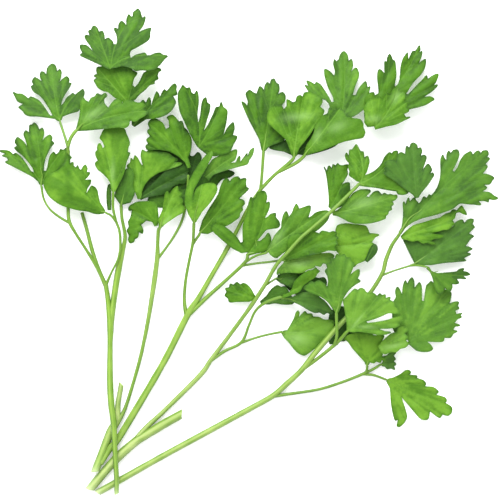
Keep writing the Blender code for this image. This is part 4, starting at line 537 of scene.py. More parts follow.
        outline=[(73.4, 25.6), (71.6, 26.8), (68, 29.6), (64.6, 32.2), (62, 33.8), (60.3, 35.3),
                 (61.7, 36), (60.5, 37.3), (61.5, 38), (60.6, 39.4), (62.4, 40.9), (64.6, 41.1),
                 (66, 40.6), (66.6, 42.6), (67.4, 44.3), (68.4, 44.6), (69.9, 43.8), (70.2, 46.4),
                 (70.8, 47.4), (71.9, 46.6), (72.4, 48.2), (73.8, 48.9), (75.4, 47.8), (75.8, 46.4),
                 (77, 46.7), (77.7, 44.8), (77.1, 43), (78.6, 43.5), (79.7, 42.4), (79.3, 40.4),
                 (78, 36.8), (79.2, 38.6), (80.2, 39.5), (81.4, 38.4), (82.1, 36.6), (81.4, 35.2),
                 (82.4, 35.6), (83.1, 34.4), (82, 32.4), (80.4, 30), (78.4, 27.6), (76.8, 25.4)],
        heights=(12.2, 14.8), left_up=0.6, sides_up=-0.4, arch=0.8, colour="dark",
        tone="middle", tint="blue",
    ),
    "leaf_top_centre": dict(
        base=(6.9, 45.3),
        outline=[(5, 50.4), (2.6, 55), (0.2, 59.6), (-1.8, 64), (-3, 67.6), (-1.4, 67), (-0.4, 65.8),
                 (-0.2, 67.6), (-1.2, 71), (0.6, 72.9), (2.4, 71.8), (3.8, 71.2), (4.3, 72.8),
                 (5.2, 74.6), (6.6, 73.8), (7.1, 72.8), (7.4, 74.8), (8.6, 76.5), (9.8, 75.7),
                 (10.2, 77.4), (11.7, 78.1), (12.9, 76.2), (14, 75.4), (14.2, 73), (13.6, 71),
                 (15.5, 72), (16.9, 70.4), (16.6, 67.6), (15.3, 65.8), (15.6, 64.3), (16.4, 63.7),
                 (17.6, 60), (17.4, 55), (16.4, 50.4), (14, 49), (10, 47.6)],
        heights=(6.4, 0.8), left_up=0.8, sides_up=-0.4, arch=0.8, colour="green",
        tone="dark", tint="plain",
    ),
    "leaf_top_wedge": dict(
        base=(20.6, 42.7),
        outline=[(18.6, 46), (16.8, 50.2), (13.9, 53), (9.3, 57.4), (8.4, 60.4), (9.4, 63.6),
                 (11.4, 65.6), (13.2, 65), (14.8, 65.6), (16, 64), (17.1, 65.2), (17.3, 68.2),
                 (18.6, 67.9), (20, 67), (21.2, 67.4), (21.6, 69.2), (22.4, 70), (23.4, 70.2),
                 (24.4, 69.6), (25, 71.2), (26.4, 71.6), (28, 71.2), (31.4, 70), (33.4, 67.6),
                 (32.4, 65), (34.2, 63), (32.8, 60), (30, 56), (27.5, 52.2), (25, 49), (23, 46.6)],
        heights=(9, 10.6), left_up=-0.2, sides_up=0.4, arch=0.6, colour="pale",
        tone="fresh", tint="plain", sheen=[(22, 60.4, 8, 2.2, 5)],
    ),
    "leaf_top_big_pale": dict(
        base=(25.6, 43.8),
        outline=[(26.3, 48.1), (28, 50.6), (29.4, 53.6), (30, 56.4), (31.8, 58.8), (33, 60.8),
                 (35.4, 62), (36.4, 64.6), (39, 63.4), (41.4, 64.4), (43.4, 61.6), (46.6, 59.8),
                 (48.6, 59.6), (50.4, 59.1), (51.5, 57.4), (51.6, 55.6), (52.4, 53.4), (51.8, 51.6),
                 (51, 50.8), (47, 50.1), (43, 49.2), (38, 47.4), (33.3, 45.4), (29, 44.2)],
        heights=(10.4, 12.2), left_up=0.4, sides_up=-0.8, arch=1.2, colour="pale",
        tone="middle", tint="plain", sheen=[(31, 52, 4, 2, 70), (40, 56, 5, 2.4, 20)],
    ),
    "leaf_top_trefoil": dict(
        base=(41.6, 58.2),
        outline=[(36.4, 62.4), (36.4, 65.6), (34.6, 68), (31.6, 68.8), (28.4, 70.4), (27.2, 71.6),
                 (26.4, 73), (25.4, 75), (26.8, 74.6), (26.2, 76.9), (27.8, 76.6), (29.8, 75.4),
                 (30.7, 76.3), (32.6, 75.2), (34.4, 72.6), (36.3, 69.4), (37.4, 67.2), (38.4, 67.4),
                 (37.9, 69.6), (36, 73.4), (34.8, 77), (34.1, 80), (34.4, 82.2), (36.6, 81.4),
                 (38.6, 79.3), (39, 81), (38.2, 84.4), (38.8, 86.8), (39.7, 85.8), (40.6, 86.6),
                 (41.3, 88.8), (43, 90.4), (44.8, 88.8), (45.3, 86), (46.6, 86.8), (47.3, 84),
                 (46.4, 81.2), (48.6, 82.9), (49.8, 80.8), (49.8, 78.6), (48, 74), (47, 70.4),
                 (48.2, 70.4), (49.4, 73), (50.8, 75), (52.9, 76.7), (53.7, 74), (54.9, 74.3),
                 (54.4, 71.4), (54.8, 69.6), (53, 65), (49, 61.6)],
        heights=(8.2, 1.2), left_up=0.2, sides_up=-0.2, arch=0.2, colour="green",
        tone="middle", tint="cool",
    ),
    "leaf_top_right": dict(
        base=(52.6, 57.6),
        outline=[(51.8, 62), (52.4, 65.6), (52, 68.6), (53.4, 70.2), (54.6, 71.3), (56.3, 71.6),
                 (56.8, 70.3), (57.9, 70.8), (58.4, 71.4), (58.2, 74), (57.8, 78), (58, 81),
                 (58.8, 82.1), (60, 81.4), (61.1, 80.2), (61, 83), (61.2, 85.7), (62.2, 85.4),
                 (62.4, 87.4), (63.5, 89), (64.6, 87.6), (65, 86.4), (66, 85.8), (66.4, 83.4),
                 (66.5, 79), (65.8, 75), (66.1, 74.2), (67.2, 75.4), (68, 78), (68.4, 83), (69.2, 86.4),
                 (70.4, 88.4), (71.7, 89.7), (71.9, 87.6), (72.1, 86.5), (72.6, 88), (74, 90.5),
                 (75, 90.5), (75.8, 91.4), (77.1, 93), (77.6, 91.4), (77.3, 89.9), (78.4, 90.4),
                 (78.1, 88), (76.8, 84.9), (78.2, 86.1), (79.9, 86.8), (79.6, 83), (78, 80),
                 (74.6, 76.4), (72.2, 73), (71, 71), (71.8, 70.8), (73.4, 72.4), (75.8, 75),
                 (78.2, 77.4), (80.2, 79.4), (80.8, 77.8), (82.6, 79.2), (85.5, 80), (84.8, 77),
                 (83.6, 75), (85.3, 75.1), (84.2, 73.4), (81.6, 71.2), (79, 69.6), (81.4, 69.8),
                 (82.8, 69.4), (83.7, 68.4), (82.4, 67.4), (79.6, 65.8), (76, 64.7), (72, 63.6),
                 (69, 61), (64, 57.4), (58, 56)],
        heights=(9.8, 1.6), left_up=0.4, sides_up=0.8, arch=0.4, colour="green",
        tone="middle", tint="plain",
    ),
    "leaf_dark_under_stem": dict(
        base=(16.4, -3.2),
        outline=[(17.2, 0.4), (17.6, 4), (18.2, 7.2), (20.2, 7.9), (21.2, 8.6), (23, 8.3), (25, 8.8),
                 (27.2, 8.3), (28.2, 9.2), (30.4, 8.9), (31.8, 8.4), (33, 9.5), (35, 9.3), (36.4, 8.9),
                 (38, 9.4), (39.8, 8.6), (39.4, 7.2), (40.4, 6.4), (39.4, 5), (40.2, 3.6), (39, 2.2),
                 (39.6, 0.6), (36, 0.6), (32, -0.6), (24, -2.4)],
        heights=(10.2, 11.2), left_up=-0.2, sides_up=-0.2, arch=0.1, colour="green",
        tone="middle", tint="plain",
    ),
    "leaf_pale_under_stem_low": dict(
        base=(16, -3.8),
        outline=[(20, 0.4), (25, 1), (30, 0.4), (33, -0.4), (37, -0.4), (38.8, -1.8), (37.6, -3.2),
                 (38, -4.4), (35.6, -5.4), (33.6, -5.2), (32.4, -6.6), (30.4, -6.2), (29.4, -7.2),
                 (26.6, -8), (24, -9.4), (18, -9.3), (14, -9.8), (12.9, -10.2), (13, -8)],
        heights=(7, 7.2), left_up=-0.3, sides_up=0.2, arch=0.2, colour="pale",
        tone="lightest", tint="blue", sheen=[(23, -5, 6, 2.4, 10)],
    ),
    "leaf_yellow_behind": dict(
        base=(38.6, 2.8),
        outline=[(39.4, 6), (39, 9), (40, 12), (44, 12.9), (48, 12.5), (52.6, 11.9), (53.8, 10.4),
                 (54.6, 8.4), (56.6, 8.4), (58.8, 7.7), (57, 6.4), (55.6, 4.4), (57, 3.2), (55, 0),
                 (53.4, -3.4), (51, -4.6), (49, -5.4), (47.4, -6.8), (46, -4.6), (42, -2.6)],
        heights=(6.6, 6), left_up=0.2, sides_up=-0.3, arch=0.2, colour="pale",
        tone="lightest", tint="plain",
    ),
    "leaf_lower_upright": dict(
        base=(39.5, -27),
        outline=[(38.6, -26.4), (37.6, -25.2), (35.6, -22.4), (33, -20.4), (29.6, -18.8), (26.6, -17.6),
                 (24.8, -16.2), (25.4, -15), (26.6, -14.4), (28.2, -12.9), (29.6, -13.4), (31.6, -12.5),
                 (33, -13.2), (34.2, -14.2), (35.3, -15.2), (35.7, -13), (35.2, -10.6), (34.2, -8.4),
                 (35.2, -7), (34.8, -5.4), (36.8, -4.4), (37, -2.8), (38.6, -2.6), (39.6, -0.8),
                 (41.4, -1.4), (43, -0.8), (44, -2.4), (45.8, -2.4), (46.4, -4.2), (47.6, -5),
                 (47, -6.8), (45.8, -9.9), (47.4, -8.6), (49.6, -7.6), (49.9, -9.6), (49.1, -11.8),
                 (50.3, -13), (48.4, -14.4), (46.4, -15.8), (44.4, -18), (42.6, -21), (41.2, -25)],
        heights=(11.8, 13.2), left_up=0.2, sides_up=-0.4, arch=0.4, colour="green",
        tone="fresh", tint="blue",
    ),
    "leaf_left_of_stem": dict(
        base=(36.6, 19.6),
        outline=[(36.2, 22), (36, 26), (35.6, 30), (35.2, 33), (34.6, 36), (34, 38.2), (35.2, 36.6),
                 (35.6, 38), (36.4, 38.8), (37.4, 37.7), (38, 39.3), (39.2, 38.9), (40.2, 39.9),
                 (41, 39.1), (42.4, 38.9), (44.8, 39.2), (44.6, 36.8), (44.8, 35), (44, 33.4),
                 (43.2, 32), (42.2, 30.4), (43.8, 31.2), (45.4, 31.1), (45.8, 29.4), (45.8, 28),
                 (47.2, 27.2), (45.6, 25), (44, 22), (42, 20.4), (38.6, 19)],
        heights=(7.6, 8), left_up=-0.2, sides_up=0.2, arch=0.3, colour="green",
        tone="middle", tint="plain",
    ),
    "leaf_yellow_dark_tip": dict(
        base=(49.6, 30.4),
        outline=[(48.4, 31.6), (46.6, 33), (45, 34.2), (45.2, 36), (44.6, 38), (45, 39.6), (43.8, 41),
                 (43.2, 43), (43.9, 44.4), (44.9, 43.2), (45.2, 45.6), (46.4, 45.9), (47.2, 47),
                 (48.3, 48.2), (49.4, 46.8), (50.3, 45.2), (51.6, 44.9), (51.9, 43.6), (52.1, 42.3),
                 (53.3, 43.1), (54.2, 41.6), (54.3, 40), (53.8, 38), (53, 35.6), (52.3, 34.4),
                 (54.4, 35.2), (57, 36.8), (59.4, 39.4), (60.6, 42), (62, 43.8), (63.2, 44.7),
                 (64.2, 44.1), (65, 45.1), (66.8, 45.3), (67.2, 44), (69, 40), (71, 34), (72.2, 29),
                 (71.4, 26.2), (69, 25.4), (66.8, 25.8), (66.2, 27), (62, 27.6), (57, 28.6), (53, 29)],
        heights=(12.6, 10.6), left_up=0.2, sides_up=-1, arch=0.8, colour="pale",
        tone="middle", tint="plain",
    ),
    "leaf_big_round_pale": dict(
        base=(37.8, 17.2),
        outline=[(40, 18.8), (43.4, 21.6), (45, 24), (47, 26.4), (50, 27.9), (54.2, 28), (54.9, 27),
                 (53, 24.9), (54, 24.7), (56.2, 27), (58.2, 27.4), (59.8, 25.8), (61, 26.5),
                 (62.4, 25.8), (63.6, 26), (65, 25.6), (66.6, 25.6), (66.8, 24.2), (65.6, 23),
                 (64.7, 22.6), (65.2, 21.4), (64.2, 20.2), (64.4, 18.9), (63.1, 18.2), (62.7, 16.8),
                 (61.8, 16.2), (61.6, 15), (60, 14.2), (58, 13.5), (55, 12.8), (52, 12.5), (48, 12.6),
                 (45, 13.4), (42.4, 14.8), (40, 16)],
        heights=(10.8, 10), left_up=-0.6, sides_up=-0.4, arch=0.6, colour="pale",
        tone="fresh", tint="cool", sheen=[(52, 22, 7, 2.6, 15)],
    ),
    "leaf_lower_right_fan": dict(
        base=(71.8, -40.4),
        outline=[(69, -38.4), (66, -36.6), (64.4, -33), (64.6, -29), (64.4, -26), (64.6, -23),
                 (66.2, -20.2), (65.9, -17.8), (66.4, -16), (67.2, -15.5), (68.2, -16.8), (69, -18.8),
                 (69.3, -16), (69.9, -13.6), (70.7, -12.6), (71.5, -14), (72.2, -12.6), (73.6, -11.3),
                 (74.7, -13), (74.8, -15.9), (75.8, -14.6), (77, -13.4), (78, -15), (78.1, -18),
                 (78, -21.8), (78.9, -22), (79.4, -18), (80, -15), (81.2, -13.8), (82.2, -13),
                 (84, -14.4), (86.4, -16), (88.6, -16.8), (91.4, -18.2), (91.3, -20.6), (90.6, -23.1),
                 (93, -22.2), (94.9, -22.4), (94.4, -24.2), (95.1, -25.4), (93.2, -26.4), (93.6, -27.8),
                 (96.4, -27.4), (95.6, -28.4), (96.1, -29.4), (94.2, -30.2), (92.8, -31.8), (95.3, -33),
                 (93, -33.6), (92.2, -34.9), (94, -35.6), (92.2, -36.8), (90.8, -38.5), (88.2, -38.5),
                 (87.6, -40.1), (84.4, -40.4), (80.4, -40.2), (82, -41.6), (82.9, -43.4), (81.4, -44.6),
                 (78, -44.8), (75.4, -44.2), (73.2, -42.4)],
        heights=(7.2, 1), left_up=0.4, sides_up=-0.4, arch=1, colour="green",
        tone="fresh", tint="blue",
    ),
    "leaf_lower_pale_overlap": dict(
        base=(58.6, -43),
        outline=[(60, -39.8), (62.4, -37.6), (64, -36.4), (66.2, -35.6), (67, -34), (69, -33.2),
                 (71, -33.6), (71.5, -35.2), (70.2, -36.4), (71.5, -38), (70.8, -39.6), (72, -41),
                 (70.4, -42.8), (68.2, -43.4), (66.4, -44.8), (64, -44.8), (61.4, -45.8), (59.6, -45)],
        heights=(9.4, 9.6), left_up=0.2, sides_up=-0.2, arch=0.2, colour="pale",
        tone="lightest", tint="blue", sheen=[(65, -42, 5, 1.2, 15)],
    ),
    "leaf_mid_low_fold": dict(
        of="leaf_mid_low",
        base=(-48.6, 24),
        outline=[(-46.6, 27.2), (-43, 30.6), (-38.6, 35), (-35, 38), (-31.4, 38.2), (-29, 39),
                 (-26.9, 38), (-26.4, 36.6), (-27.4, 35.4), (-26.2, 34.2), (-27.6, 32.6), (-28.2, 31),
                 (-31, 30.6), (-34, 29.2), (-35.6, 27), (-38.4, 25.8), (-42, 25.2), (-45.6, 24.4)],
        heights=(2.3, 2.6), left_up=0.2, sides_up=0, arch=0, colour="dark",
        tone="dark", tint="plain",
    ),
    "leaf_top_right_fold": dict(
        of="leaf_top_right",
        base=(56.6, 55.4),
        outline=[(53.4, 55.8), (51.9, 58), (52.2, 61.4), (51.6, 64), (53, 66.6), (54.6, 69),
                 (56.6, 68.6), (58.6, 69.6), (60, 68.4), (61.6, 71), (63.6, 70.6), (65.2, 73),
                 (67, 73.4), (67.8, 71.4), (69.6, 71.6), (70.2, 69.4), (69.4, 67), (71.4, 67),
                 (70.8, 64.6), (72, 63), (69.8, 61.6), (70.6, 60.4), (72.6, 60.3), (70, 58.8),
                 (66.4, 57), (62, 56)],
        heights=(10.6, 11.4), left_up=0.2, sides_up=-0.6, arch=0.6, colour="pale",
        tone="fresh", tint="plain", sheen=[(56, 59.6, 4, 1.8, 0), (66, 69.4, 4, 1.8, 60)],
    ),
    "leaf_top_hidden": dict(
        of="leaf_top_wedge",
        base=(21.8, 43.2),
        outline=[(16, 45), (11.4, 45.8), (9.4, 47), (12, 48.6), (17, 50.4), (22, 53), (27, 56), (32, 57),
                 (38, 54), (41.6, 50.4), (39.6, 47.8), (36, 46), (31, 44.4), (26, 43.2)],
        heights=(4.2, 4.6), left_up=0, sides_up=0, arch=0, colour="dark",
        tone="darkest", tint="plain",
    ),
    "leaf_yellow_behind_curl": dict(
        of="leaf_yellow_behind",
        base=(52.8, -4.2),
        outline=[(52.9, -2.4), (54.2, 1), (55.4, 3), (56.6, 3.8), (57.7, 3), (58.2, 1.6), (57.6, -0.4),
                 (55.8, -2.6), (54, -4.2)],
        heights=(7.6, 7.9), left_up=0, sides_up=0.2, arch=0.2, colour="dark",
        tone="dark", tint="plain",
    ),
    "leaf_mid_shade": dict(
        of="leaf_dark_underneath",
        base=(-25, 31),
        outline=[(-28, 28.6), (-34, 27.4), (-40, 26.4), (-46, 25.6), (-50, 27.6), (-52, 32), (-51, 37),
                 (-48, 38.4), (-46.4, 44), (-43, 48), (-40, 52), (-36, 55), (-31, 57), (-27, 54.4),
                 (-25.6, 48), (-26, 43.4), (-24.6, 43.2), (-22.4, 45), (-20.8, 42.6), (-22, 38),
                 (-21.4, 34), (-23, 31)],
        heights=(0.4, 0.3), left_up=0, sides_up=0, arch=0, colour="dark",
        tone="darkest", tint="plain",
    ),
    "leaf_centre_shade": dict(
        of="leaf_centre_serrated",
        base=(-24.6, 22.4),
        outline=[(-26.6, 26), (-25.6, 31), (-22.4, 36), (-18.6, 39.4), (-14, 38.6), (-9, 37), (-6, 35.6),
                 (-8, 33.6), (-11.6, 32.6), (-13.6, 30.4), (-15.4, 27), (-19, 23.4)],
        heights=(0.6, 0.7), left_up=0, sides_up=0, arch=0, colour="dark",
        tone="dark", tint="plain",
    ),
    "leaf_lower_shade": dict(
        of="leaf_lower_under_pale",
        base=(40.6, -41),
        outline=[(36.6, -41.4), (35.6, -37), (36, -31), (37, -27), (40.4, -24.4), (44.4, -25), (49, -29),
                 (53.6, -33), (57, -36), (53, -38.2), (47, -38.8), (43, -40.2)],
        heights=(0.5, 0.5), left_up=0, sides_up=0, arch=0, colour="dark",
        tone="darkest", tint="plain",
    ),
    "leaf_lower_shade_two": dict(
        of="leaf_dark_inner",
        base=(15.6, -13),
        outline=[(17, -10), (22, -9), (26.6, -9), (29.6, -10.8), (31.6, -11.6), (34.4, -11.4),
                 (35.6, -14), (33, -18), (28, -19.2), (22, -19.4), (18, -16.8)],
        heights=(0.5, 0.5), left_up=0, sides_up=0, arch=0, colour="dark",
        tone="darkest", tint="plain",
    ),
}


def inside(points, polygon):
    """Which of the points lie inside the closed polygon."""
    x, y = points[:, 0:1], points[:, 1:2]
    ax, ay = polygon[:, 0], polygon[:, 1]
    bx, by = np.roll(ax, -1), np.roll(ay, -1)
    spans = (ay > y) != (by > y)
    rise = np.where(by == ay, 1e-9, by - ay)
    left = x < (bx - ax) * (y - ay) / rise + ax
    return (spans & left).sum(axis=1) % 2 == 1


def distance_to_lines(points, starts, ends):
    """Each point's distance to the nearest of the straight stretches."""
    if len(starts) == 0:
        return np.full(len(points), 99.0)
    run = ends - starts
    length2 = np.maximum((run**2).sum(axis=1), 1e-9)
    offset = points[:, None, :] - starts[None, :, :]
    share = np.clip((offset * run).sum(axis=2) / length2, 0, 1)
    gap = offset - share[:, :, None] * run
    return np.sqrt((gap**2).sum(axis=2)).min(axis=1)


def bent_line(start, control, end, step):
    """Points along a quadratic bend."""
    count = max(2, int(np.linalg.norm(end - start) / step))
    t = np.linspace(0, 1, count + 1)[:, None]
    return (1 - t) ** 2 * start + 2 * t * (1 - t) * control + t**2 * end


class LeafPlan:
    """A leaf seen from above: its fine outline, its veins and its height."""

    def __init__(self, name, table):
        self.name = name
        self.table = table
        self.base = np.array(table["base"], float)
        points = np.array(table["outline"], float)
        reach = np.linalg.norm(points - self.base, axis=1)
        tip = points[reach.argmax()]
        self.length = reach.max()
        self.axis = (tip - self.base) / self.length
        self.left = np.array([-self.axis[1], self.axis[0]])
        self.half_width = np.abs((points - self.base) @ self.left).max()
        self.corners = self.with_foot(points)
        self.turn = self.turning(self.corners)
        self.outline = self.curved()
        self.main_veins, self.side_veins = self.veins()
        self.creases = self.notch_creases()

    def with_foot(self, points):
        """The listed points, closed across the narrow foot where the leaf meets its petiole."""
        middle = (points[0] + points[-1]) / 2 - self.base
        size = np.linalg.norm(middle)
        out = middle / size if size > 0.5 else self.axis
        side = np.array([-out[1], out[0]]) * PETIOLE_HALF_WIDTH
        if side @ (points[0] - points[-1]) < 0:
            side = -side
        self.out = out
        return np.vstack([self.base + side, points, self.base - side])

    @staticmethod
    def turning(corners):
        """1 where the outline runs anticlockwise, and -1 where it runs clockwise."""
        x, y = corners[:, 0], corners[:, 1]
        area = (x * np.roll(y, -1) - np.roll(x, -1) * y).sum()
        return 1.0 if area > 0 else -1.0

    def curved(self):
        """The corners joined by smooth curves: round at the teeth and sharp in the notches."""
        corners = self.corners
        total = len(corners)
        runs = np.roll(corners, -1, axis=0) - corners
        lengths = np.linalg.norm(runs, axis=1)
        across = np.roll(corners, -1, axis=0) - np.roll(corners, 1, axis=0)
        across = across / np.maximum(np.linalg.norm(across, axis=1), 1e-6)[:, None]
        sharp = [self.is_notch(number) for number in range(total)]
        sharp[0] = sharp[1] = sharp[-2] = sharp[-1] = True
        pieces = []
        for number, start in enumerate(corners):
            after = (number + 1) % total
            size = lengths[number]
            straight = runs[number] / size
            leave = straight if sharp[number] else across[number]
            arrive = straight if sharp[after] else across[after]
            count = max(2, int(round(size / EDGE_STEP)))
            t = (np.arange(count) / count)[:, None]
            pieces.append(
                (2 * t**3 - 3 * t**2 + 1) * start
                + (t**3 - 2 * t**2 + t) * leave * size * CURVE
                + (3 * t**2 - 2 * t**3) * corners[after]
                + (t**3 - t**2) * arrive * size * CURVE
            )
        return np.vstack(pieces)

    def bend(self, number):
        """How sharply the outline turns at this corner, in degrees; negative into the leaf."""
        here = self.corners[number]
        back = here - self.corners[number - 1]
        ahead = self.corners[(number + 1) % len(self.corners)] - here
        cross = (back[0] * ahead[1] - back[1] * ahead[0]) * self.turn
        return math.degrees(math.atan2(cross, back @ ahead))

    def is_notch(self, number):
        """Whether the outline turns sharply into the leaf here."""
        return self.bend(number) < -SHARP_TURN

    def tooth_tips(self):
        """The corners that stand out from the leaf."""
        inner = range(1, len(self.corners) - 1)
        return np.array([self.corners[number] for number in inner if self.bend(number) > SHARP_TURN])

    def notch_creases(self):
        """Short creases that run on from the notches between lobes towards the base."""
        lines = []
        for number in range(1, len(self.corners) - 1):
            notch = self.corners[number]
            size = np.linalg.norm(self.base - notch)
            if self.bend(number) > -CREASE_TURN or size < SHORTEST_CREASE:
                continue
            inner = notch + (self.base - notch) * 0.5
            control = (notch + inner) / 2 - self.axis * 0.04 * size
            lines.append(bent_line(notch, control, inner, VEIN_STEP))
        return lines

    def veins(self):
        """Main veins fan out from the base to the lobes, and side veins leave them for the teeth."""
        tips = self.tips = self.tooth_tips()
        reach = np.linalg.norm(tips - self.base, axis=1)
        main, rest = [], []
        for number, tip in enumerate(tips):
            near = reach[max(0, number - 2) : number + 3]
            if reach[number] >= near.max() and reach[number] > 0.45 * self.length:
                main.append(tip)
            else:
                rest.append(tip)
        main_lines = []
        for tip in main:
            size = np.linalg.norm(tip - self.base)
            control = self.base + self.out * 0.25 * size + (tip - self.base) * 0.3
            main_lines.append(bent_line(self.base, control, tip, VEIN_STEP))
        side_lines = []
        for tip in rest:
            best = None
            for line in main_lines:
                gaps = np.linalg.norm(line - tip, axis=1)
                nearest = gaps.argmin()
                back = int(gaps[nearest] / VEIN_STEP * 2.0)
                foot = line[max(1, nearest - back)] if len(line) > 1 else line[0]
                if best is None or gaps[nearest] < best[0]:
                    best = (gaps[nearest], foot)
            if best is not None and best[0] > 1.0:
                foot = best[1]
                control = (foot + tip) / 2 + self.axis * 0.06 * np.linalg.norm(tip - foot)
                side_lines.append(bent_line(foot, control, tip, VEIN_STEP))
        return main_lines, side_lines

    def height(self, points):
        """The frame's own height of the leaf at the points."""
        table = self.table
        offset = points - self.base
        along = offset @ self.axis / self.length
        across = offset @ self.left / self.half_width
        spread = np.clip(along * 2, 0, 1)
        at_base, at_tip = table["heights"]
        arch = np.where(along > 0, 4 * along * (1 - along), 0)
        return (
            at_base
            + (at_tip - at_base) * along
            + table["left_up"] * across * spread
            + table["sides_up"] * across**2
            + table["arch"] * arch
        )


def stretches(lines):
    """The starts and ends of all straight stretches of the lines."""
    if not lines:
        return np.zeros((0, 2)), np.zeros((0, 2))
    starts = np.vstack([line[:-1] for line in lines])
    ends = np.vstack([line[1:] for line in lines])
    return starts, ends


# ---------------------------------------------------------------- leaf meshes


def lattice(plan, keep_off):
    """Even points inside the outline, clear of the outline and the veins."""
    low, high = plan.outline.min(axis=0), plan.outline.max(axis=0)
    row_gap = LEAF_GRAIN * math.sqrt(3) / 2
    rows = np.arange(low[1], high[1], row_gap)
    points = []
    for number, y in enumerate(rows):
        shift = LEAF_GRAIN / 2 * (number % 2)
        xs = np.arange(low[0] + shift, high[0], LEAF_GRAIN)
        points.append(np.column_stack([xs, np.full(len(xs), y)]))
    points = np.vstack(points)
    points = points[inside(points, plan.outline)]
    clear = np.ones(len(points), bool)
    for start in range(0, len(points), 400):
        some = points[start : start + 400]
        gaps = np.linalg.norm(some[:, None, :] - keep_off[None, :, :], axis=2)
        clear[start : start + 400] = gaps.min(axis=1) > 0.55 * LEAF_GRAIN
    return points[clear]


def flat_net(plan):
    """A fine triangle net inside the outline, with the veins among its edges."""
    points = [plan.outline]
    edges = []
    total = len(plan.outline)
    rim_starts, rim_ends = plan.outline, np.roll(plan.outline, -1, axis=0)
    for line in plan.main_veins + plan.side_veins:
        body = line[1:-1]
        if len(body) < 2:
            continue
        is_in = inside(body, plan.outline) & (distance_to_lines(body, rim_starts, rim_ends) > 0.35)
        for number in range(len(body) - 1):
            if is_in[number] and is_in[number + 1]:
                edges.append((total + number, total + number + 1))
        points.append(np.where(is_in[:, None], body, plan.base + plan.out * 1.5))
        total += len(body)
    keep_off = np.vstack(points)
    points.append(lattice(plan, keep_off))
    flat = [Vector(point) for point in np.vstack(points)]
    ring = [list(range(len(plan.outline)))]
    found = delaunay_2d_cdt(flat, edges, ring, 1, 1e-4)
    return np.array([tuple(point) for point in found[0]]), found[2]


def frame_tree():
    """One search tree over all the frame's nodes, to find how much room a leaf has."""
    corners, faces = [], []
    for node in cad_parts.values():
        first = len(corners)
        corners.extend(vert.co / MM for vert in node.data.vertices)
        faces.extend([first + i for i in face.vertices] for face in node.data.polygons)
    return BVHTree.FromPolygons(corners, faces)


def room(tree, point, height, direction):
    """The free distance from a leaf's own sheet to the next piece above or below it."""
    start = Vector((point[0], point[1], height + direction * FRAME_SHEET_REACH))
    hit = tree.ray_cast(start, Vector((0, 0, direction)), FARTHEST_LOOK)
    gap = hit[3] if hit[0] is not None else FARTHEST_LOOK
    if direction < 0:
        gap = min(gap, height - FRAME_SHEET_REACH + LOWEST_DIP)
    return max(0.0, gap)


def relief(plan, points, main_gap, vein_gap, rim_gap, crease_gap):
    """How far the leaf stands above its plain sheet: folds along veins, puffs and ripples."""
    fold = FOLD_HEIGHT * (1 - np.exp(-main_gap / 3.0))
    puff = 0.2 * (1 - np.exp(-((vein_gap / 1.0) ** 2)))
    groove = -0.05 * np.exp(-((main_gap / 0.3) ** 2))
    seed = sum(ord(letter) for letter in plan.name) % 97
    ripple = np.array(
        [
            0.5 * noise.noise(Vector((x / 8, y / 8, seed)))
            + 0.3 * noise.noise(Vector((x / 3.4, y / 3.4, seed + 9)))
            for x, y in points
        ]
    )
    free_edge = 0.45 + 0.55 * np.exp(-rim_gap / 3.0)
    tip_droop = -0.15 * np.exp(-rim_gap / 0.9)
    crease = -0.35 * np.exp(-((crease_gap / 0.9) ** 2))
    return fold - 0.3 + puff + groove + crease + ripple * free_edge * 1.5 + tip_droop


def neighbour_pairs(faces):
    """Every two points that share an edge, both ways round."""
    corners = np.array([list(face)[:3] for face in faces])
    pairs = np.vstack([corners[:, [0, 1]], corners[:, [1, 2]], corners[:, [2, 0]]])
    return np.vstack([pairs, pairs[:, ::-1]])


def neighbour_mean(values, pairs):
    """The mean value of each point's neighbours."""
    count = np.bincount(pairs[:, 0], minlength=len(values))
    near = np.bincount(pairs[:, 0], weights=values[pairs[:, 1]], minlength=len(values))
    return near / np.maximum(count, 1)


def calmed(share, pairs, rounds):
    """Shares that fall off gently around their low places."""
    for _ in range(rounds):
        share = np.minimum(share, neighbour_mean(share, pairs))
    return share


def spread_out(values, pairs, rounds):
    """Values that run softly into each other."""
    for _ in range(rounds):
        values = (values + neighbour_mean(values, pairs)) / 2
    return values


def sheen(plan, points):
    """How much painted highlight each point has: pale spots that stand in for the light's reflection."""
    total = np.zeros(len(points))
    for x, y, half_length, half_width, direction in plan.table.get("sheen", []):
        angle = math.radians(direction)
        ahead = np.array([math.cos(angle), math.sin(angle)])
        offset = points - np.array([x, y])
        along = offset @ ahead / half_length
        across = (offset @ np.array([-ahead[1], ahead[0]])) / half_width
        total += np.exp(-1.4 * (along**2 + across**2))
    return np.clip(total, 0, 1)


def streaks(plan, points):
    """Light and dark streaks that fan out from the base, from -1 to 1."""
    offset = points - plan.base
    reach = np.linalg.norm(offset, axis=1)
    angle = np.arctan2(offset @ plan.left, offset @ plan.out * 0.5 + offset @ plan.axis * 0.5)
    return np.array(
        [
            noise.noise(Vector((a * 7, r / 14, 5))) + 0.7 * noise.noise(Vector((a * 19, r / 9, 2)))
            for a, r in zip(angle, reach)
        ]
    )


def set_values(mesh, name, values):
    layer = mesh.attributes.new(name, "FLOAT", "POINT")
    layer.data.foreach_set("value", np.asarray(values, np.float32))


def only(thing):
    """Selects this object alone and makes it active."""
    for other in list(bpy.context.selected_objects):
        other.select_set(False)
    thing.select_set(True)
    bpy.context.view_layer.objects.active = thing


def add_piece(name, mesh):
    piece = bpy.data.objects.new(name, mesh)
    bpy.context.scene.collection.objects.link(piece)
    return piece


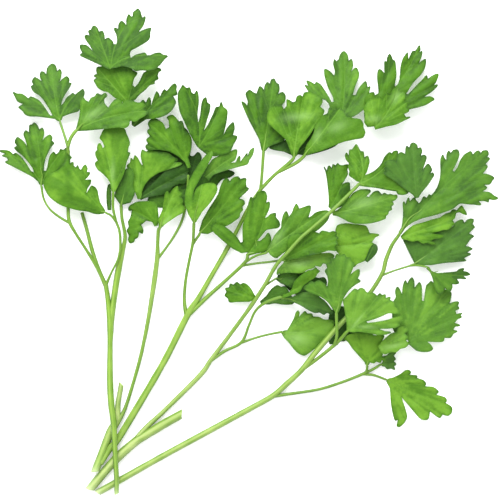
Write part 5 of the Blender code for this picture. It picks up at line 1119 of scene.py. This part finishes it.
def leaf_piece(plan, tree, upper, under):
    """A leaf as a thin closed blade, with what its material reads stored on its points."""
    points, faces = flat_net(plan)
    main_starts, main_ends = stretches(plan.main_veins)
    all_starts, all_ends = stretches(plan.main_veins + plan.side_veins)
    main_gap = distance_to_lines(points, main_starts, main_ends)
    vein_gap = distance_to_lines(points, all_starts, all_ends)
    rim_gap = distance_to_lines(points, plan.outline, np.roll(plan.outline, -1, axis=0))
    height = plan.height(points)
    crease_starts, crease_ends = stretches(plan.creases)
    crease_gap = distance_to_lines(points, crease_starts, crease_ends)
    pairs = neighbour_pairs(faces)
    raised = relief(plan, points, main_gap, vein_gap, rim_gap, crease_gap)
    above = np.array([room(tree, p, h, 1) for p, h in zip(points, height)])
    below = np.array([room(tree, p, h, -1) for p, h in zip(points, height)])
    allowed = np.where(raised > 0, above, below) * 0.5
    share = np.clip(allowed / np.maximum(np.abs(raised), 1e-6), 0, 1)
    share = calmed(share, pairs, 8)
    height = height + raised * share

    mesh = bpy.data.meshes.new(plan.name + "_sheet")
    corners = [(x * MM, y * MM, z * MM) for (x, y), z in zip(points, height)]
    mesh.from_pydata(corners, [], [list(face) for face in faces])
    set_values(mesh, "midrib", main_gap)
    set_values(mesh, "vein", vein_gap)
    set_values(mesh, "rim", rim_gap)
    tip_gap = np.linalg.norm(points[:, None, :] - plan.tips[None, :, :], axis=2).min(axis=1)
    set_values(mesh, "tip", tip_gap)
    set_values(mesh, "crease", crease_gap)
    set_values(mesh, "streak", streaks(plan, points))
    # Painted shade: points with a piece close above, spread softly so that it falls off around the
    # overlapping edges.
    set_values(mesh, "covered", spread_out((above < OVERLAP_SHADE_REACH).astype(float), pairs, 14))
    set_values(mesh, "tone", np.full(len(points), TONES[plan.table["tone"]]))
    set_values(mesh, "cool", np.full(len(points), TINTS[plan.table["tint"]]))
    set_values(mesh, "sheen", sheen(plan, points))
    along = np.clip((points - plan.base) @ plan.axis / plan.length, 0, 1)
    set_values(mesh, "along", along)
    bm = bmesh.new()
    bm.from_mesh(mesh)
    if sum(face.normal.z for face in bm.faces) < 0:
        bmesh.ops.reverse_faces(bm, faces=bm.faces)
    bm.to_mesh(mesh)
    bm.free()
    mesh.materials.append(upper)
    mesh.materials.append(under)
    piece = add_piece(plan.name + "_blade", mesh)
    only(piece)
    wall = piece.modifiers.new("blade", "SOLIDIFY")
    wall.thickness = LEAF_SHEET * MM
    wall.offset = 0.0
    wall.material_offset = 1
    bpy.ops.object.modifier_apply(modifier=wall.name)
    bpy.ops.object.shade_smooth_by_angle(angle=math.radians(50))
    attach(piece, "root")
    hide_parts(plan.table.get("of", plan.name))


# ---------------------------------------------------------------- stalk meshes

# How pale each stalk is where it starts and where it ends; some branches have their own.
PALENESS = {
    "stalk_a": (0.1, 0.0),
    "stalk_b": (0.15, 0.1),
    "stalk_c": (0.75, 0.3),
    "stalk_d": (0.5, 0.2),
    ("stalk_b", 0): (0.1, 1.0),
    ("stalk_b", 1): (0.5, 0.2),
    ("stalk_c", 0): (0.8, 0.6),
}
STALK_SIDES = 24
STALK_STEP = 0.7
RIBS = 6


def smooth_route(route):
    """Closely spaced points and radii on a smooth curve through the route's points."""
    points = np.array(route, float)
    padded = np.vstack([2 * points[0] - points[1], points, 2 * points[-1] - points[-2]])
    fine = []
    for number in range(1, len(padded) - 2):
        p0, p1, p2, p3 = padded[number - 1 : number + 3]
        count = max(2, int(np.linalg.norm(p2[:3] - p1[:3]) / STALK_STEP))
        t = (np.arange(count) / count)[:, None]
        fine.append(
            0.5
            * (
                2 * p1
                + (p2 - p0) * t
                + (2 * p0 - 5 * p1 + 4 * p2 - p3) * t**2
                + (3 * p1 - p0 - 3 * p2 + p3) * t**3
            )
        )
    fine.append(points[-1:])
    return np.vstack(fine)


def add_tube(bm, layers, route, start_is_cut, end_is_cut, rib_depth, phase, looks):
    """A ribbed tube along the route; a cut end is a slanted, hollow, paler face."""
    rib, cut, girth, paleness = layers
    fine = smooth_route(route)
    spots = [Vector(point[:3]) * MM for point in fine]
    side = Vector((0, 0, 1)).cross(spots[1] - spots[0]).normalized()
    rings = []
    travelled = 0.0
    whole = sum((b - a).length for a, b in zip(spots, spots[1:])) / MM
    for number, spot in enumerate(spots):
        before = spots[max(0, number - 1)]
        after = spots[min(len(spots) - 1, number + 1)]
        ahead = (after - before).normalized()
        side = (side - ahead * side.dot(ahead)).normalized()
        top = ahead.cross(side)
        if number:
            travelled += (spot - spots[number - 1]).length / MM
        radius = fine[number][3] * MM
        radius *= 1 + 0.05 * noise.noise(Vector((travelled / 6, phase, 3)))
        twist = 1.2 * noise.noise(Vector((travelled / 30, phase, 8)))
        uneven = 0.5 * noise.noise(Vector((travelled / 5, phase, 1)))
        slant = 0.0
        if start_is_cut and number == 0:
            slant = -0.45
        if end_is_cut and number == len(spots) - 1:
            slant = 0.7
        ring = []
        for step in range(STALK_SIDES):
            angle = 2 * math.pi * step / STALK_SIDES
            wave = math.cos(RIBS * angle + phase)
            reach = radius * (1 + rib_depth * wave)
            spoke = side * math.cos(angle) + top * math.sin(angle)
            lean = ahead * slant * math.cos(angle) * radius
            vert = bm.verts.new(spot + spoke * reach + lean)
            # Painted light on the skin: a broad lighter stripe along the top and underneath with darker
            # sides, as light falls on a round stalk; the finer lines are the stalk's own ribs.
            broad = math.cos(2 * (angle - math.pi / 2 - 0.4 * twist))
            fine_lines = math.cos(5 * angle + phase + twist) + 0.5 * math.cos(9 * angle + twist)
            vert[rib] = 0.5 * broad + 0.4 * fine_lines + uneven
            vert[girth] = fine[number][3]
            vert[cut] = 0.6 * math.exp(-travelled / 2.0) if start_is_cut else 0.0
            vert[paleness] = looks[0] + (looks[1] - looks[0]) * travelled / whole
            ring.append(vert)
        rings.append(ring)
    for one, two in zip(rings, rings[1:]):
        for step in range(STALK_SIDES):
            after = (step + 1) % STALK_SIDES
            bm.faces.new((one[step], one[after], two[after], two[step]))
    close_end(bm, layers, rings[0], spots[0], spots[1] - spots[0], start_is_cut, True)
    close_end(bm, layers, rings[-1], spots[-1], spots[-2] - spots[-1], end_is_cut, False)


def close_end(bm, layers, ring, spot, inward, is_cut, is_start):
    """Closes a tube: a dome where it only ends, and a sunken pale face where it was cut."""
    rib, cut, girth, paleness = layers
    inward = inward.normalized()
    radius = (ring[STALK_SIDES // 4].co - spot).length
    steps = [(0.86, -0.05), (0.7, 0.35), (0.35, 0.75)] if is_cut else [(0.8, -0.15), (0.4, -0.35)]
    last = ring
    for share, depth in steps:
        circle = []
        for vert in ring:
            place = spot + (vert.co - spot) * share + inward * depth * radius
            made = bm.verts.new(place)
            made[cut] = 1.0 if is_cut else 0.0
            made[girth] = vert[girth]
            made[rib] = vert[rib] * share
            made[paleness] = vert[paleness]
            circle.append(made)
        join_rings(bm, circle, last, is_start)
        last = circle
    centre_depth = 0.8 if is_cut else -0.42
    centre = bm.verts.new(spot + inward * centre_depth * radius)
    centre[cut] = 1.0 if is_cut else 0.0
    centre[girth] = ring[0][girth]
    centre[paleness] = ring[0][paleness]
    for step in range(STALK_SIDES):
        after = (step + 1) % STALK_SIDES
        if is_start:
            bm.faces.new((centre, last[after], last[step]))
        else:
            bm.faces.new((centre, last[step], last[after]))


def join_rings(bm, inner, outer, is_start):
    """Faces between two rings of a tube's end, facing outwards at either end."""
    for step in range(STALK_SIDES):
        after = (step + 1) % STALK_SIDES
        if is_start:
            bm.faces.new((inner[step], inner[after], outer[after], outer[step]))
        else:
            bm.faces.new((outer[step], outer[after], inner[after], inner[step]))


def run_into_leaf(route, plans):
    """Carries a leaf stalk on under the leaf that it bears, thinning to nothing as its midrib."""
    x, y, z, radius = route[-1]
    end = np.array([x, y])
    near = min(plans, key=lambda plan: np.linalg.norm(plan.base - end))
    if np.linalg.norm(near.base - end) > JOIN_REACH:
        return route
    foot = near.base
    on_in = foot + near.out * 0.14 * near.length
    further = foot + near.out * 0.07 * near.length + near.axis * 0.2 * near.length
    marks = np.array([foot, on_in, further])
    heights = near.height(marks)
    made = list(route)
    made.append((foot[0], foot[1], heights[0] - 0.15, radius * 0.8))
    made.append((on_in[0], on_in[1], heights[1] - 0.3, radius * 0.5))
    made.append((further[0], further[1], heights[2] - 0.3, 0.12))
    return made


def stalk_piece(name, branches, plans, material):
    """A stalk and its side branches as one skin of ribbed tubes."""
    bm = bmesh.new()
    titles = ("rib", "cut", "girth", "paleness")
    layers = tuple(bm.verts.layers.float.new(title) for title in titles)
    for number, route in enumerate(branches):
        is_stalk = number == 0
        longer = run_into_leaf(route, plans)
        ends_bare = len(longer) == len(route)
        rib_depth = 0.055 if route[0][3] > THICK_RADIUS else 0.03
        looks = PALENESS.get((name, number), PALENESS[name])
        end_is_cut = ends_bare and route[-1][3] > THICK_RADIUS
        add_tube(bm, layers, longer, is_stalk, end_is_cut, rib_depth, number, looks)
    mesh = bpy.data.meshes.new(name + "_skin")
    bm.to_mesh(mesh)
    bm.free()
    mesh.materials.append(material)
    piece = add_piece(name + "_skin", mesh)
    only(piece)
    bpy.ops.object.shade_smooth_by_angle(angle=math.radians(55))
    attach(piece, "root")
    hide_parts(name)


# ---------------------------------------------------------------- materials


class Nodes:
    """A short way to add and join shader nodes."""

    def __init__(self, name):
        self.material = bpy.data.materials.new(name)
        self.material.use_nodes = True
        self.tree = self.material.node_tree
        self.shader = self.tree.nodes["Principled BSDF"]

    def add(self, kind, **values):
        node = self.tree.nodes.new(kind)
        for key, value in values.items():
            setattr(node, key, value)
        return node

    def join(self, source, target):
        self.tree.links.new(source, target)

    def value(self, name):
        node = self.add("ShaderNodeAttribute", attribute_name=name)
        return node.outputs["Fac"]

    def ranged(self, source, low, high, out_low, out_high):
        node = self.add("ShaderNodeMapRange", interpolation_type="SMOOTHSTEP")
        self.join(source, node.inputs["Value"])
        node.inputs["From Min"].default_value = low
        node.inputs["From Max"].default_value = high
        node.inputs["To Min"].default_value = out_low
        node.inputs["To Max"].default_value = out_high
        return node.outputs["Result"]

    def maths(self, operation, first, second):
        node = self.add("ShaderNodeMath", operation=operation)
        for socket, source in zip(node.inputs, (first, second)):
            if isinstance(source, (int, float)):
                socket.default_value = source
            else:
                self.join(source, socket)
        return node.outputs["Value"]

    def blend(self, share, first, second):
        node = self.add("ShaderNodeMix", data_type="RGBA")
        sockets = [node.inputs[0], node.inputs[6], node.inputs[7]]
        for socket, source in zip(sockets, (share, first, second)):
            if isinstance(source, (int, float, tuple)):
                socket.default_value = source
            else:
                self.join(source, socket)
        return node.outputs[2]

    def cloud(self, size, detail=2.0):
        """Noise with blotches of about this many millimetres."""
        place = self.add("ShaderNodeTexCoord")
        node = self.add("ShaderNodeTexNoise")
        node.inputs["Scale"].default_value = 1 / (size * MM)
        node.inputs["Detail"].default_value = detail
        self.join(place.outputs["Object"], node.inputs["Vector"])
        return node.outputs["Fac"]

    def cells(self, size):
        """The distance from the edges of cells of about this many millimetres."""
        place = self.add("ShaderNodeTexCoord")
        node = self.add("ShaderNodeTexVoronoi", feature="DISTANCE_TO_EDGE")
        node.inputs["Scale"].default_value = 1 / (size * MM)
        self.join(place.outputs["Object"], node.inputs["Vector"])
        return node.outputs["Distance"]


DEEP = (0.020, 0.066, 0.004, 1)
FRESH = (0.050, 0.140, 0.007, 1)
LIGHT = (0.110, 0.245, 0.018, 1)
BLUISH = (0.072, 0.150, 0.045, 1)
# Painted highlight: the pale green that stands in for the light's reflection, and how far it is blended
# in.
PAINTED_HIGHLIGHT = (0.23, 0.38, 0.13, 1)
PAINTED_HIGHLIGHT_SHARE = 0.36


def leaf_material(name, deep, middle, light, vein_colour, vein_strength, roughness):
    """A leaf's face: deeper or lighter by its tone, with painted shade at rims, tips, creases and
    overlaps and a painted highlight where it has one.
    """
    n = Nodes(name)
    tone = n.maths("ADD", n.value("tone"), n.ranged(n.cloud(10.0), 0.3, 0.7, -0.14, 0.14))
    tone = n.maths("ADD", tone, n.ranged(n.cloud(2.2, 3.0), 0.3, 0.7, -0.07, 0.07))
    tone = n.maths("ADD", tone, n.ranged(n.value("streak"), -0.8, 0.8, -0.16, 0.16))
    # Painted shade in the creases.
    tone = n.maths("ADD", tone, n.ranged(n.value("crease"), 0.1, 1.4, -0.22, 0.0))
    # Painted shade under pieces that lie close above.
    tone = n.maths("ADD", tone, n.ranged(n.value("covered"), 0.0, 0.7, 0.0, -0.3))
    # Painted shade at the rims and tips, where the leaf curls away from the light.
    tone = n.maths("ADD", tone, n.ranged(n.value("rim"), 0.1, 1.1, -0.2, 0.0))
    tone = n.maths("ADD", tone, n.ranged(n.value("tip"), 0.3, 2.2, -0.25, 0.0))
    colour = n.blend(n.ranged(tone, 0.0, 0.5, 0.0, 1.0), deep, middle)
    colour = n.blend(n.ranged(tone, 0.45, 1.0, 0.0, 1.0), colour, light)
    cells = n.cells(1.5)
    colour = n.blend(n.ranged(cells, 0.0, 0.1, 0.2 * vein_strength, 0.0), colour, vein_colour)
    side = n.ranged(n.value("vein"), 0.06, 0.3, 0.45 * vein_strength, 0.0)
    main = n.ranged(n.value("midrib"), 0.08, 0.45, 0.8 * vein_strength, 0.0)
    fade = n.ranged(n.value("along"), 0.1, 0.9, 1.0, 0.3)
    colour = n.blend(side, colour, vein_colour)
    colour = n.blend(n.maths("MULTIPLY", main, fade), colour, vein_colour)
    colour = n.blend(n.value("cool"), colour, BLUISH)
    # Painted highlight: pale spots where the light would reflect.
    colour = n.blend(n.maths("MULTIPLY", n.value("sheen"), PAINTED_HIGHLIGHT_SHARE), colour, PAINTED_HIGHLIGHT)
    n.join(colour, n.shader.inputs["Base Color"])
    rough = n.ranged(n.cloud(3.0), 0.3, 0.7, roughness - 0.05, roughness + 0.07)
    n.join(rough, n.shader.inputs["Roughness"])
    n.shader.inputs["Specular IOR Level"].default_value = 0.12
    n.shader.inputs["IOR"].default_value = 1.4
    n.shader.inputs["Subsurface Weight"].default_value = 0.08
    n.shader.inputs["Subsurface Radius"].default_value = (0.5, 1.0, 0.15)
    n.shader.inputs["Subsurface Scale"].default_value = 0.0008
    height = n.maths("ADD", n.ranged(cells, 0.0, 0.16, 0.0, 1.0), n.cloud(0.7, 3.0))
    bump = n.add("ShaderNodeBump")
    bump.inputs["Strength"].default_value = 0.35
    bump.inputs["Distance"].default_value = 0.00014
    n.join(height, bump.inputs["Height"])
    n.join(bump.outputs["Normal"], n.shader.inputs["Normal"])
    return n.material


def stalk_material():
    """Yellow-green skin with lengthwise lighter lines, a painted lighter top and darker sides, and a
    pale moist face where it was cut.
    """
    n = Nodes("stalk_skin")
    # This value carries the stalk's own lengthwise lines and a painted lighter top with darker sides.
    rib = n.ranged(n.value("rib"), -0.9, 0.9, 0.0, 1.0)
    thick = n.ranged(n.value("girth"), 0.6, 1.3, 0.0, 1.0)
    thin_colour = n.blend(rib, (0.054, 0.140, 0.009, 1), (0.118, 0.228, 0.025, 1))
    green_colour = n.blend(rib, (0.060, 0.155, 0.007, 1), (0.190, 0.320, 0.038, 1))
    pale_colour = n.blend(rib, (0.115, 0.225, 0.022, 1), (0.400, 0.470, 0.190, 1))
    colour = n.blend(n.value("paleness"), green_colour, pale_colour)
    colour = n.blend(thick, thin_colour, colour)
    colour = n.blend(n.ranged(n.cloud(9.0), 0.35, 0.65, 0.0, 0.25), colour, (0.13, 0.25, 0.025, 1))
    colour = n.blend(n.value("cut"), colour, (0.50, 0.60, 0.33, 1))
    n.join(colour, n.shader.inputs["Base Color"])
    n.shader.inputs["Roughness"].default_value = 0.38
    n.shader.inputs["Specular IOR Level"].default_value = 0.25
    n.shader.inputs["Subsurface Weight"].default_value = 0.12
    n.shader.inputs["Subsurface Radius"].default_value = (0.8, 1.0, 0.3)
    n.shader.inputs["Subsurface Scale"].default_value = 0.001
    bump = n.add("ShaderNodeBump")
    bump.inputs["Strength"].default_value = 0.25
    bump.inputs["Distance"].default_value = 0.0001
    n.join(n.cloud(0.8, 3.0), bump.inputs["Height"])
    n.join(bump.outputs["Normal"], n.shader.inputs["Normal"])
    return n.material


def floor_material():
    """A white table that glows faintly, so that it stays white under soft light."""
    n = Nodes("pale_table")
    patches = n.ranged(n.cloud(40.0), 0.3, 0.7, 0.0, 1.0)
    tint = n.blend(patches, (0.88, 0.88, 0.88, 1), (0.9, 0.9, 0.9, 1))
    n.join(tint, n.shader.inputs["Base Color"])
    n.shader.inputs["Roughness"].default_value = 0.7
    n.shader.inputs["Specular IOR Level"].default_value = 0.1
    n.shader.inputs["Emission Color"].default_value = (1, 1, 1, 1)
    n.shader.inputs["Emission Strength"].default_value = 0.18
    return n.material


# ---------------------------------------------------------------- stage


def add_floor():
    bpy.ops.mesh.primitive_plane_add(size=6.0, location=(0, 0, -FLOOR_DROP * MM))
    floor = bpy.context.object
    floor.name = "table"
    bpy.ops.object.transform_apply(location=True)
    floor.data.materials.append(floor_material())


def add_softbox(name, place, aim, size, power):
    light = bpy.data.lights.new(name, "AREA")
    light.shape = "SQUARE"
    light.size = size
    light.energy = power
    lamp = bpy.data.objects.new(name, light)
    lamp.location = place
    lamp.rotation_euler = (Vector(aim) - Vector(place)).to_track_quat("-Z", "Y").to_euler()
    bpy.context.scene.collection.objects.link(lamp)


def add_lights():
    world = bpy.data.worlds.new("studio")
    world.use_nodes = True
    sky = world.node_tree.nodes["Background"]
    sky.inputs["Color"].default_value = (1, 1, 1, 1)
    sky.inputs["Strength"].default_value = 1.35
    bpy.context.scene.world = world
    add_softbox("window", (-0.12, 0.62, 0.66), (0, 0, 0), 0.6, 13.0)


def add_camera():
    """Straight above, far enough away to see the bunch with almost no perspective."""
    data = bpy.data.cameras.new("camera")
    data.sensor_width = 36.0
    distance = 1.5
    field = 0.225
    data.lens = data.sensor_width * distance / field
    data.clip_end = 20.0
    camera = bpy.data.objects.new("camera", data)
    camera.location = (0.0009, 0.0009, distance)
    bpy.context.scene.collection.objects.link(camera)
    bpy.context.scene.camera = camera


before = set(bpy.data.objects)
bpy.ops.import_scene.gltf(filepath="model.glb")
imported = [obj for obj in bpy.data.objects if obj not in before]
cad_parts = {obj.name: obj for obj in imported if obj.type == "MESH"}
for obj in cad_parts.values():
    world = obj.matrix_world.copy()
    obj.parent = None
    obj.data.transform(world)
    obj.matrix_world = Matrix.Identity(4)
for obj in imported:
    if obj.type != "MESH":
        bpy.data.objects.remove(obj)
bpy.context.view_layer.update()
GREEN = leaf_material("leaf_face_green", DEEP, FRESH, LIGHT, (0.085, 0.205, 0.018, 1), 0.5, 0.46)
PALE = leaf_material("leaf_face_pale", DEEP, FRESH, LIGHT, (0.13, 0.275, 0.035, 1), 0.5, 0.44)
# The dark face's deeper greens are partly the leaves' own colour and partly painted shade for leaves
# that lie under others.
DARK = leaf_material(
    "leaf_face_dark", (0.017, 0.055, 0.006, 1), (0.042, 0.118, 0.011, 1), (0.08, 0.195, 0.02, 1),
    (0.07, 0.165, 0.025, 1), 0.4, 0.45,
)
UNDER = leaf_material(
    "leaf_underside", (0.04, 0.13, 0.02, 1), (0.10, 0.25, 0.04, 1), (0.15, 0.32, 0.07, 1),
    (0.2, 0.36, 0.11, 1), 0.8, 0.55,
)
FACES = {"green": GREEN, "pale": PALE, "dark": DARK}

plans = [LeafPlan(name, table) for name, table in LEAVES.items()]
tree = frame_tree()
for plan in plans:
    leaf_piece(plan, tree, FACES[plan.table["colour"]], UNDER)
skin = stalk_material()
for name, branches in STALKS.items():
    stalk_piece(name, branches, plans, skin)
add_floor()
add_lights()
add_camera()
bpy.context.scene.view_settings.view_transform = "Standard"
